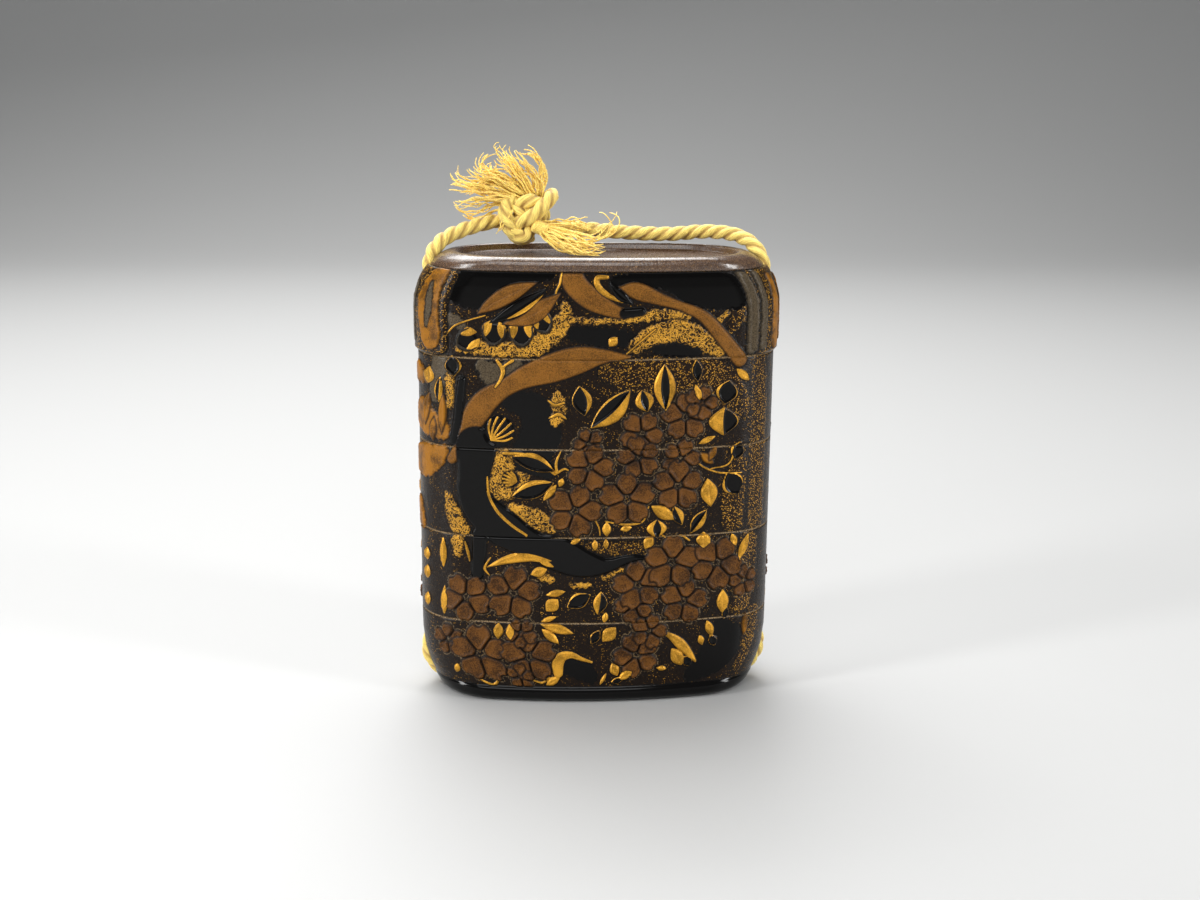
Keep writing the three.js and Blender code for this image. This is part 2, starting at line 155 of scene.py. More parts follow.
class FinishSettings(bpy.types.PropertyGroup):
    """Colours of the lacquer and of the silk."""

    black: bpy.props.FloatVectorProperty(
        name="Black lacquer", description="Polished bare lacquer", subtype="COLOR",
        default=(0.0015, 0.0013, 0.0012))
    ground: bpy.props.FloatVectorProperty(
        name="Ground", description="Dark brown ground under the gold dust", subtype="COLOR",
        default=(0.006, 0.0026, 0.001))
    branch: bpy.props.FloatVectorProperty(
        name="Branch", description="Ochre brown of the branches", subtype="COLOR",
        default=(0.17, 0.068, 0.008))
    blossom: bpy.props.FloatVectorProperty(
        name="Blossom", description="Rust brown of the petals", subtype="COLOR",
        default=(0.088, 0.033, 0.0045))
    gold: bpy.props.FloatVectorProperty(
        name="Gold", description="Gold of leaves, lines and dust", subtype="COLOR",
        default=(0.56, 0.275, 0.027))
    amber: bpy.props.FloatVectorProperty(
        name="Amber gold", description="Deeper gold of the patches at the ends", subtype="COLOR",
        default=(0.27, 0.105, 0.004))
    # Slate lacquer, made light enough to stand also for the painted highlight on the lid's right-hand post.
    slate_and_highlight: bpy.props.FloatVectorProperty(
        name="Slate", description="Greyed lacquer patches", subtype="COLOR", default=(0.09, 0.066, 0.038))
    # Painted highlight: a pale line just outside each petal's edge.
    petal_rim_highlight: bpy.props.FloatVectorProperty(
        name="Petal edge", description="Pale line where a petal's edge is worn", subtype="COLOR",
        default=(0.3, 0.2, 0.1))
    # Painted highlight with rubbed wear: the pale line along the tiers' edges where they meet, standing for
    # the bevels catching the light.
    seam_highlight_and_wear: bpy.props.FloatVectorProperty(
        name="Rubbed seam", description="Lacquer rubbed pale where the tiers meet", subtype="COLOR",
        default=(0.42, 0.3, 0.17))
    rim_dark: bpy.props.FloatVectorProperty(
        name="Rim, dark", description="Darkest lacquer of the rim and the top", subtype="COLOR",
        default=(0.03, 0.014, 0.007))
    rim_light: bpy.props.FloatVectorProperty(
        name="Rim, light", description="Lightest lacquer of the rim and the top", subtype="COLOR",
        default=(0.085, 0.042, 0.02))
    rim_dust: bpy.props.FloatVectorProperty(
        name="Rim dust", description="Gold dust in the rim and the top", subtype="COLOR",
        default=(0.34, 0.2, 0.09))
    silk: bpy.props.FloatVectorProperty(
        name="Silk", description="Straw gold of the cord", subtype="COLOR", default=(0.86, 0.62, 0.14))


class CordSettings(bpy.types.PropertyGroup):
    """The twisted cord."""

    diameter: bpy.props.FloatProperty(
        name="Diameter", description="Width of the cord", default=2 * CORD_RADIUS * MM, unit="LENGTH")
    lay_length: bpy.props.FloatProperty(
        name="Lay length", description="Length of one full turn of a strand, in millimetres", default=7.6)
    thread_radius: bpy.props.FloatProperty(
        name="Thread radius", description="Radius of one teased-out thread, in millimetres", default=0.14)


class StageSettings(bpy.types.PropertyGroup):
    """The floor, the lights and the view."""

    floor: bpy.props.FloatVectorProperty(
        name="Floor", description="Colour of the floor", subtype="COLOR", default=(0.42, 0.42, 0.415))
    key_power: bpy.props.FloatProperty(
        name="Key power", description="Power of the overhead softbox", default=4.2, unit="POWER")
    fill_power: bpy.props.FloatProperty(
        name="Fill power", description="Power of the front softbox", default=2.4, unit="POWER")
    lens: bpy.props.FloatProperty(
        name="Lens", description="Focal length of the view in millimetres", default=48)


# ------------------------------------------------------------------ plan outline

FACE_CENTRE = FACE_RADIUS - HALF_DEPTH


def end_arc(half_width, face):
    """Radius and centre of the round ends that meet two faces of one radius, and where they meet."""
    radius = (face ** 2 - FACE_CENTRE ** 2 - half_width ** 2) / (2 * (face - half_width))
    centre = half_width - radius
    return radius, centre, math.asin(centre / (face - radius))


END_RADIUS, _, FACE_HALF_ANGLE = end_arc(HALF_WIDTH, FACE_RADIUS)
TANGENT_X = FACE_RADIUS * math.sin(FACE_HALF_ANGLE)
END_LENGTH = END_RADIUS * (math.pi - 2 * FACE_HALF_ANGLE)
HALF_ROUND = 2 * TANGENT_X + END_LENGTH


def plan(end_inset, face_inset, counts):
    """The outline at the given insets, from the middle of the front round by the right-hand end."""
    face = FACE_RADIUS - face_inset
    radius, centre, half = end_arc(HALF_WIDTH - end_inset, face)
    quarter = math.pi / 2
    front, end, back = counts
    stretches = [
        (0, FACE_CENTRE, face, -quarter, -quarter + half, front // 2),
        (centre, 0, radius, -quarter + half, quarter - half, end),
        (0, -FACE_CENTRE, face, quarter - half, quarter + half, back),
        (-centre, 0, radius, quarter + half, 3 * quarter - half, end),
        (0, FACE_CENTRE, face, 3 * quarter - half, 3 * quarter, front // 2),
    ]
    xs, ys = [], []
    for x, y, r, start, stop, steps in stretches:
        angle = np.linspace(start, stop, steps, endpoint=False)
        xs.append(x + r * np.cos(angle))
        ys.append(y + r * np.sin(angle))
    return np.concatenate(xs), np.concatenate(ys)


def wraps(counts):
    """Distance of each outline point round the front, and round the back as seen from behind."""
    front, end, back = counts
    half_front = np.linspace(0, TANGENT_X, front // 2, endpoint=False)
    right = TANGENT_X + np.linspace(0, END_LENGTH, end, endpoint=False)
    rear = TANGENT_X + END_LENGTH + np.linspace(0, 2 * TANGENT_X, back, endpoint=False)
    rear[rear > HALF_ROUND] -= 2 * HALF_ROUND
    left = -TANGENT_X - END_LENGTH + np.linspace(0, END_LENGTH, end, endpoint=False)
    last = -TANGENT_X + np.linspace(0, TANGENT_X, front // 2, endpoint=False)
    front_wrap = np.concatenate([half_front, right, rear, left, last])
    back_wrap = front_wrap - np.where(front_wrap > 0, HALF_ROUND, -HALF_ROUND)
    return front_wrap, back_wrap


# ------------------------------------------------------------------ fields of the ornament

FINISHES = ("black", "slate_and_highlight", "branch", "blossom", "gold", "amber", "moss", "dust")
REACH = 1.0
FAR = 9


def smooth(value, low=0.0, high=1.0):
    """Smooth step from 0 at low to 1 at high."""
    t = np.clip((value - low) / (high - low), 0, 1)
    return t * t * (3 - 2 * t)


def spline(points, per_span=6):
    """Points of a smooth curve through the knots, any number of values each."""
    knots = np.array(points, float)
    ends = np.vstack([2 * knots[0] - knots[1], knots, 2 * knots[-1] - knots[-2]])
    curve = []
    for a, b, c, d in zip(ends, ends[1:], ends[2:], ends[3:]):
        for t in np.arange(per_span) / per_span:
            curve.append(0.5 * (2 * b + (c - a) * t + (2 * a - 5 * b + 4 * c - d) * t ** 2
                                + (3 * b - a - 3 * c + d) * t ** 3))
    curve.append(knots[-1])
    return np.array(curve)


class Wall:
    """One tier's wall: where each mesh point is on the unrolled surface, and what is laid on it."""

    def __init__(self, across, up):
        self.across = across
        self.up = up
        self.height = np.zeros_like(across)
        self.edge = np.full_like(across, REACH)
        self.fields = {name: np.full_like(across, -REACH) for name in FINISHES}

    def window(self, x0, x1, z0, z1):
        """Indices of the points in a box and a little round it."""
        return np.nonzero((self.across > x0 - REACH) & (self.across < x1 + REACH)
                          & (self.up > z0 - REACH) & (self.up < z1 + REACH))[0]

    def lay(self, at, finish, inside, height=None, rim=0.3):
        """Lay a finish where inside is positive, raised to height over the rim."""
        inside = np.clip(inside, -REACH, REACH)
        for name, field in self.fields.items():
            if name == finish:
                field[at] = np.maximum(field[at], inside)
            else:
                field[at] = np.minimum(field[at], -inside)
        near = np.minimum(self.edge[at], np.abs(inside))
        self.edge[at] = np.where(inside > 0, np.abs(inside), near)
        if height is not None:
            rise = smooth(inside, 0, rim)
            self.height[at] = self.height[at] * (1 - rise) + height * rise

    def groove(self, at, distance, depth, width):
        """Cut a soft groove, or raise a ridge with a negative depth, along a line."""
        self.height[at] -= depth * np.exp(-(distance / width) ** 2)


def stroke_field(wall, knots, grow=0.0):
    """Window and inside field of a stroke through [x, z, half width] knots."""
    line = spline(knots)
    widest = line[:, 2].max() + grow
    at = wall.window(line[:, 0].min() - widest, line[:, 0].max() + widest,
                     line[:, 1].min() - widest, line[:, 1].max() + widest)
    x, z = wall.across[at], wall.up[at]
    inside = np.full(len(at), -1e3)
    for (ax, az, aw), (bx, bz, bw) in zip(line, line[1:]):
        dx, dz = bx - ax, bz - az
        t = np.clip(((x - ax) * dx + (z - az) * dz) / (dx * dx + dz * dz + 1e-9), 0, 1)
        gap = np.hypot(x - ax - t * dx, z - az - t * dz)
        inside = np.maximum(inside, aw + (bw - aw) * t + grow - gap)
    return at, inside


def lay_stroke(wall, finish, knots, height, rim=0.35):
    """A smooth stroke of one finish."""
    at, inside = stroke_field(wall, knots)
    if len(at):
        wall.lay(at, finish, inside, height, rim)


def lay_blot(wall, finish, knots, height, ragged=0.35, rim=0.4):
    """A patch with an uneven edge."""
    at, inside = stroke_field(wall, knots, ragged)
    if len(at):
        x, z = wall.across[at], wall.up[at]
        waves = [3.1 * x + 1.7 * z, 2.3 * z - 4.1 * x + 1, 5.9 * x + 5.2 * z + 2, 7.7 * z - 6.3 * x]
        waver = sum(np.sin(wave) for wave in waves) / len(waves)
        wall.lay(at, finish, inside - ragged + ragged * waver, height, rim)


# Leaf styles: the share of the width, from right edge -1 to left edge 1, that is black.
LEAF_STYLES = {
    "gold": (2, 3), "black": (-0.82, 0.82), "right": (-0.1, 0.86), "left": (-0.86, 0.1),
    "core": (-0.4, 0.4), "thin_left": (-0.9, 0.5), "thin_right": (-0.5, 0.9),
}


def lay_leaf(wall, settings, x0, z0, length, width, degrees, bend=0.0, style="gold", finish="gold"):
    """A pointed leaf; bend bows its midrib to the left of its direction."""
    turn = math.radians(degrees)
    reach = length / 2 + abs(bend) + width / 2
    at = wall.window(x0 - reach, x0 + reach, z0 - reach, z0 + reach)
    if not len(at):
        return
    x, z = wall.across[at] - x0, wall.up[at] - z0
    along = x * math.cos(turn) + z * math.sin(turn)
    across = z * math.cos(turn) - x * math.sin(turn)
    share = np.clip(along / length, -0.5, 0.5)
    bow = np.cos(math.pi * share)
    half = 0.56 * width * bow
    slope = 1 + (math.pi * width / 2 / length) ** 2 * (1 - bow ** 2)
    side = across - bend * bow
    past = np.maximum(np.abs(along) - length / 2, 0)
    inside = np.where(past > 0, -np.hypot(past, side), (half - np.abs(side)) / np.sqrt(slope))
    low, high = LEAF_STYLES[style]
    wall.lay(at, finish, inside, settings.leaf_height, 0.26)
    dark = np.minimum(np.minimum(side - low * half, high * half - side), inside - 0.14)
    if low < 1:
        wall.lay(at, "black", dark, settings.leaf_height * 0.45, 0.3)
    else:
        wall.groove(at, np.where(inside > 0.2, side, FAR), 0.14, 0.13)


PETALS = 5


def lay_blossom(wall, settings, x0, z0, radius, degrees):
    """Cupped petals with notched tips and fine ribs, round a small boss."""
    at = wall.window(x0 - radius, x0 + radius, z0 - radius, z0 + radius)
    if not len(at):
        return
    x, z = wall.across[at] - x0, wall.up[at] - z0
    pad = 0.385 * radius
    inside = np.full(len(at), -REACH)
    half_petal = math.pi / PETALS
    for petal in range(PETALS):
        turn = math.radians(degrees) + 2 * half_petal * petal
        out = x * math.cos(turn) + z * math.sin(turn)
        off = z * math.cos(turn) - x * math.sin(turn)
        stretch = 1.0 + 0.08 * math.sin(3.7 * petal + degrees)
        round_pad = pad * stretch - np.hypot((out - 0.58 * radius) * 0.88, off)
        wedge = out * math.sin(half_petal) - np.abs(off) * math.cos(half_petal) - 0.05
        notch = np.hypot(out - 1.06 * radius, off) - 0.15 * radius
        inside = np.maximum(inside, np.minimum(np.minimum(round_pad, wedge), notch))
    cup = 1 - 0.4 * smooth(inside, 0.2, 0.75)
    wall.lay(at, "blossom", inside, settings.blossom_height * cup, 0.24)
    centre = np.hypot(x, z)
    wall.groove(at, centre, -0.16, 0.35)
    angle = np.arctan2(z, x) - math.radians(degrees)
    ray = np.abs(np.sin(PETALS / 2 * angle)) * centre
    rib = np.where((centre > 0.5) & (centre < 0.42 * radius), ray, FAR)
    wall.groove(at, rib, -0.07, 0.12)


def lay_fan(wall, settings, x0, z0, radius, degrees, ribs=6):
    """A tuft of moss drawn as a fan of curved gold ribs."""
    at = wall.window(x0 - radius, x0 + radius, z0 - radius, z0 + radius)
    if not len(at):
        return
    x, z = wall.across[at] - x0, wall.up[at] - z0
    wall.lay(at, "black", radius - np.hypot(x, z), settings.moss_height * 0.6, 0.4)
    for rib in range(ribs):
        turn = math.radians(degrees + 150 * (rib / (ribs - 1) - 0.5))
        tip = (x0 + 0.92 * radius * math.cos(turn), z0 + 0.92 * radius * math.sin(turn))
        root = math.radians(degrees)
        foot = (x0 - 0.75 * radius * math.cos(root), z0 - 0.75 * radius * math.sin(root))
        bow = 0.35 * radius * (rib / (ribs - 1) - 0.5)
        middle = ((tip[0] + foot[0]) / 2 - bow * math.sin(root),
                  (tip[1] + foot[1]) / 2 + bow * math.cos(root))
        lay_stroke(wall, "gold", [[*foot, 0.12], [*middle, 0.17], [*tip, 0.16]],
                   settings.moss_height * 2, 0.2)


def lay_bud(wall, settings, x0, z0, size, degrees=90):
    """A cup-shaped bud: a grey cup, gold petals and a black heart."""
    turn = math.radians(degrees)
    ux, uz = math.cos(turn), math.sin(turn)

    def place(along, off):
        return [x0 + along * ux - off * uz, z0 + along * uz + off * ux]

    cup = [[*place(0.35 * size, -0.54 * size), 0.1], [*place(-0.15 * size, -0.5 * size), 0.16],
           [*place(-0.55 * size, 0), 0.2], [*place(-0.15 * size, 0.5 * size), 0.16],
           [*place(0.35 * size, 0.54 * size), 0.1]]
    heart = [[*place(-0.2 * size, 0), 0.44 * size], [*place(0.1 * size, 0), 0.44 * size]]
    lay_stroke(wall, "black", heart, settings.leaf_height * 0.4)
    for side in (-1, 1):
        lay_leaf(wall, settings, *place(0.22 * size, side * 0.3 * size), 0.95 * size, 0.42 * size,
                 degrees - side * 16, side * 0.1 * size)
    lay_stroke(wall, "slate_and_highlight", cup, settings.leaf_height, 0.2)


# ------------------------------------------------------------------ the drawing

# Patches as (finish, height, [x, z, half width] knots), each laid over the ones before it.
PATCHES = [
    ("dust", 0.05, [[1, 57, 1.6], [6, 56.5, 3], [13, 56.4, 3.2], [19, 55.6, 3], [23, 51, 2.6]]),
    ("dust", 0.05, [[22.5, 31, 2], [22.6, 36, 2.2], [23.4, 41, 1.8]]),
    ("dust", 0.05, [[24.4, 16, 2], [25.4, 22, 2.4], [25.8, 27, 2.2]]),
    ("dust", 0.05, [[19.6, 70.8, 0.5], [22.6, 66.8, 1.6], [21.4, 63.5, 0.8]]),
    ("dust", 0.05, [[27, 58, 1.8], [27.4, 52, 2.2], [27.4, 46, 2.2], [27.4, 38, 2.2], [27.4, 31, 2.2]]),
    ("dust", 0.05, [[27.4, 14, 1.8], [26.6, 9, 1.6], [25.8, 5, 1.2]]),
    ("black", 0.0, [[-24.5, 71.2, 2.4], [-20.4, 70.3, 3.3], [-15, 72.4, 1.5], [-9.6, 72.6, 0.9]]),
    ("black", 0.0, [[2.6, 71.4, 1.3], [10, 72, 1.5], [16, 70.4, 3], [21.6, 69.9, 3.2]]),
    ("black", 0.0, [[-4.2, 63.2, 1.2], [0.8, 62.7, 1.6], [6.2, 62.3, 0.9]]),
    ("black", 0.0, [[-14.6, 51.9, 1.3], [-11, 50.9, 2.6], [-9.6, 47.4, 3.2], [-11, 43.6, 3.3]]),
    ("black", 0.0, [[-14.6, 41.6, 1.4], [-11, 41.8, 2.0], [-8.4, 40.6, 1.4]]),
    ("black", 0.0, [[17.6, 4.8, 1.8], [20.6, 7.4, 3.3], [22.4, 10.6, 2.4], [20.8, 12.6, 1.4]]),
    ("black", 0.0, [[-5.4, 6.6, 1.6], [-2.6, 5.6, 1.7], [-1.2, 4.4, 1]]),
    ("slate_and_highlight", 0.1, [[-19.2, 57.8, 1.2], [-16.8, 56.2, 2.1], [-13.6, 58, 1.2]]),
    ("slate_and_highlight", 0.1, [[-27.6, 52.6, 1.5], [-26.8, 56, 2], [-26.6, 58.6, 1.6]]),
    ("slate_and_highlight", 0.1, [[-25.6, 65.8, 0.8], [-23.4, 64.8, 1.1], [-21.8, 63.8, 0.6]]),
    ("moss", 0.2, [[-23, 60.6, 0.8], [-19, 60.6, 1.2], [-14, 60.6, 1.3], [-10.4, 61.2, 1.7],
                   [-7.6, 63.6, 1.7], [-5.8, 66, 1.3], [-5.8, 68, 0.7]]),
    ("moss", 0.2, [[-5, 65.6, 0.6], [0, 65.3, 0.55], [5, 65.8, 0.8], [9.4, 66.3, 1], [14, 66, 0.7]]),
    ("moss", 0.2, [[5.4, 61.2, 1.3], [8, 62.8, 1.7], [12.4, 63.6, 2], [16, 62, 1.9], [19.4, 60.2, 1.2]]),
    ("black", 0.0, [[9, 60.6, 0.8], [12.4, 60.4, 1.1], [15.4, 60, 0.8]]),
    ("moss", 0.2, [[19.2, 65.2, 0.6], [20.6, 66.2, 0.5]]),
    ("moss", 0.2, [[-24.6, 55.6, 0.9], [-24.6, 51, 0.8]]),
    ("moss", 0.2, [[-7.2, 53.2, 0.8], [-6.8, 50.8, 1.3], [-7.4, 48.6, 0.7]]),
    ("moss", 0.2, [[-15.6, 42.6, 1.6], [-16.2, 38, 2.6], [-13, 38.6, 1.8]]),
    ("moss", 0.2, [[-14.2, 33.9, 1.1], [-10.6, 32.4, 1.7], [-8, 31, 1.2]]),
    ("moss", 0.2, [[-25.2, 35.6, 0.8], [-24.2, 32.6, 1.5], [-23, 30, 1.6]]),
    ("moss", 0.2, [[-23.6, 28.2, 1.2], [-23.4, 26, 0.8]]),
    ("dust", 0.08, [[-1.4, 27.8, 1.1], [3, 27.2, 1.3], [7, 27.4, 1]]),
    ("moss", 0.2, [[-9.8, 22.6, 0.8], [-8, 21.8, 0.7]]),
    ("moss", 0.2, [[-4.4, 20.9, 0.5], [-1.6, 20.9, 0.5]]),
    ("moss", 0.2, [[0.8, 22.2, 0.5], [3.6, 23.6, 0.5]]),
    ("amber", 0.28, [[-33.4, 40.6, 2.6], [-30.4, 41, 3], [-27, 42.4, 1.7], [-25.8, 43.6, 0.8]]),
    ("amber", 0.28, [[-31, 48.6, 3.1], [-28.6, 47.4, 2.4], [-26, 46.6, 1.6]]),
    ("amber", 0.28, [[-33, 55.6, 2], [-29.6, 55, 1]]),
    ("amber", 0.28, [[-33.4, 33, 1.4], [-32.4, 30, 1.6]]),
]

# The lobes on the lid's ends: amber panels with worn slate patches, and slate posts on the right, the inner
# post made pale as a painted highlight of the lobe's rounded edge.
EARS = [
    ("amber", 0.3, [[-28.2, 71.6, 1.9], [-28.8, 67.4, 2.6], [-28.2, 62.2, 2.3]]),
    ("slate_and_highlight", 0.22, [[-28.6, 70.6, 0.4], [-28.2, 67.4, 0.8], [-28.8, 64, 0.4]]),
    ("slate_and_highlight", 0.2, [[-33.4, 70, 0.9], [-34.4, 65, 1.3], [-33.6, 61.4, 0.9]]),
    # Painted highlight: the pale slate post on the right lobe's rounded edge.
    ("slate_and_highlight", 0.42, [[24.9, 72.4, 0.9], [25.1, 66.6, 1], [24.9, 60.2, 0.95]]),
    ("slate_and_highlight", 0.36, [[27.1, 72.2, 0.7], [27.2, 66.6, 0.85], [27, 60.6, 0.8]]),
    ("amber", 0.3, [[30.4, 71.4, 0.9], [30.8, 66.4, 1.2], [30.6, 61, 1.3]]),
    ("amber", 0.3, [[34.8, 70.8, 0.9], [35.3, 66, 1.4], [34.8, 61.4, 1]]),
]

# Branches as [x, z, half width] strokes.
FRONT_BRANCHES = [
    ("branch", [[-6.2, 74.2, 2.0], [-4.6, 71.3, 1.9], [-1.6, 68.8, 1.8], [1.6, 67.1, 1.2],
                [3.6, 66.5, 0.8]]),
    ("black", [[3.6, 66.6, 0.8], [6.3, 66.9, 0.7]]),
    ("branch", [[3, 70.6, 0.4], [6, 70.1, 1.5], [9.5, 68.8, 1.1], [12.6, 67.7, 0.8], [16.3, 66, 1],
                [19.2, 63, 1.2], [22.9, 58.6, 1.3]]),
    ("gold", [[0.9, 72.4, 0.3], [-0.9, 72.2, 0.45], [-0.6, 70.8, 0.5], [1.1, 69.4, 0.4], [3.4, 68.4, 0.2]]),
    ("branch", [[4.5, 59.5, 0.3], [0, 59.6, 1.3], [-4, 58.9, 2.3], [-8, 57.6, 2.4], [-12, 56.2, 1.9],
                [-15.4, 54.3, 1.5], [-18.4, 52.2, 2], [-20.2, 49.8, 2.1], [-21.5, 47.2, 1.5],
                [-23, 43.9, 1.2], [-24.4, 42, 0.9]]),
    ("black", [[-20.2, 44.4, 3.3], [-20.6, 40, 2.7], [-20.9, 36.8, 2.6], [-19.4, 33.6, 3],
               [-15.8, 30.6, 3.2], [-11, 27.8, 2.5], [-6.4, 26.2, 3], [-2.7, 24.7, 2.4],
               [1, 24.3, 1.3], [4.6, 25.4, 0.8], [7.6, 25.6, 0.3]]),
    ("black", [[-19.8, 29.6, 1.3], [-20, 26, 1.2], [-20.2, 22.5, 1.1]]),
    ("black", [[-22.6, 55.4, 0.7], [-23, 52, 0.8], [-23.4, 48.6, 0.8], [-24.2, 45, 0.7]]),
]

# Thin gold lines as [x, z, half width] strokes.
FRONT_LINES = [
    [[-8.6, 52.4, 0.1], [-7.4, 51.6, 0.24], [-6, 52, 0.14]],
    [[-8.4, 49.4, 0.1], [-6.8, 50.1, 0.26], [-5.6, 49.3, 0.12]],
    [[-25, 62.8, 0.12], [-23.6, 64.2, 0.14], [-21.2, 65.2, 0.12], [-18.6, 66, 0.1]],
    [[-7.4, 73, 0.14], [-7.2, 71.4, 0.2], [-7.6, 69.8, 0.14], [-7.2, 68, 0.1]],
    [[4, 60, 0.1], [6.4, 62.2, 0.12], [8.6, 64, 0.1]],
    [[-15.8, 43.4, 0.2], [-12.4, 43.2, 0.28], [-9.6, 41.8, 0.3], [-7.4, 40, 0.2]],
    [[-18.4, 39.4, 0.12], [-18.2, 36.4, 0.2], [-16.8, 33.6, 0.26], [-14.6, 31.4, 0.26], [-12, 29.6, 0.2]],
    [[-6.5, 43.8, 0.1], [-7.2, 42, 0.2], [-7.1, 40.3, 0.22]],
    [[-7.1, 40.2, 0.22], [-5.9, 40.9, 0.18], [-5.2, 40.7, 0.1]],
    [[-22.3, 28, 0.12], [-21.8, 26.2, 0.26], [-21.5, 24.6, 0.1]],
    [[-16.8, 58.8, 0.2], [-15.8, 57.2, 0.34], [-16.2, 55.6, 0.24], [-17, 54.4, 0.14]],
    [[-14.2, 58.8, 0.24], [-15.4, 58, 0.2], [-15.8, 57.4, 0.2]],
    [[12.4, 43.6, 0.1], [15, 42.6, 0.16], [17, 40.8, 0.14], [20, 39.6, 0.14], [23.8, 39.4, 0.1]],
    [[10.4, 29.3, 0.18], [12, 28.4, 0.12], [13.4, 29.2, 0.16], [15, 28.2, 0.14]],
    [[18.4, 40.4, 0.1], [21.4, 41, 0.14], [22.6, 43.6, 0.1]],
    [[-0.6, 34.6, 0.12], [-1.2, 33.2, 0.16], [-0.2, 31, 0.12], [0, 29.6, 0.1]],
    [[0.8, 32, 0.1], [4, 31.4, 0.16], [7, 31.8, 0.14], [8, 34.4, 0.1]],
    [[-18.2, 22.3, 0.1], [-19, 23.6, 0.2], [-18, 25.4, 0.12]],
    [[-13.2, 4.6, 0.1], [-10.6, 3.6, 0.2], [-8.8, 4.6, 0.1]],
    [[-22.6, 4.2, 0.12], [-20, 2.9, 0.24], [-17.6, 4.6, 0.12]],
    [[10.4, 12.3, 0.2], [12, 11.6, 0.5], [13.8, 10.1, 0.85], [15.6, 8.3, 0.6], [17.1, 6.6, 0.16]],
    [[-7.2, 5.4, 0.85], [-7, 7.1, 1], [-6.2, 8.3, 0.85], [-4.7, 8.6, 0.6], [-3.2, 8, 0.4],
     [-1.2, 7.3, 0.2]],
]

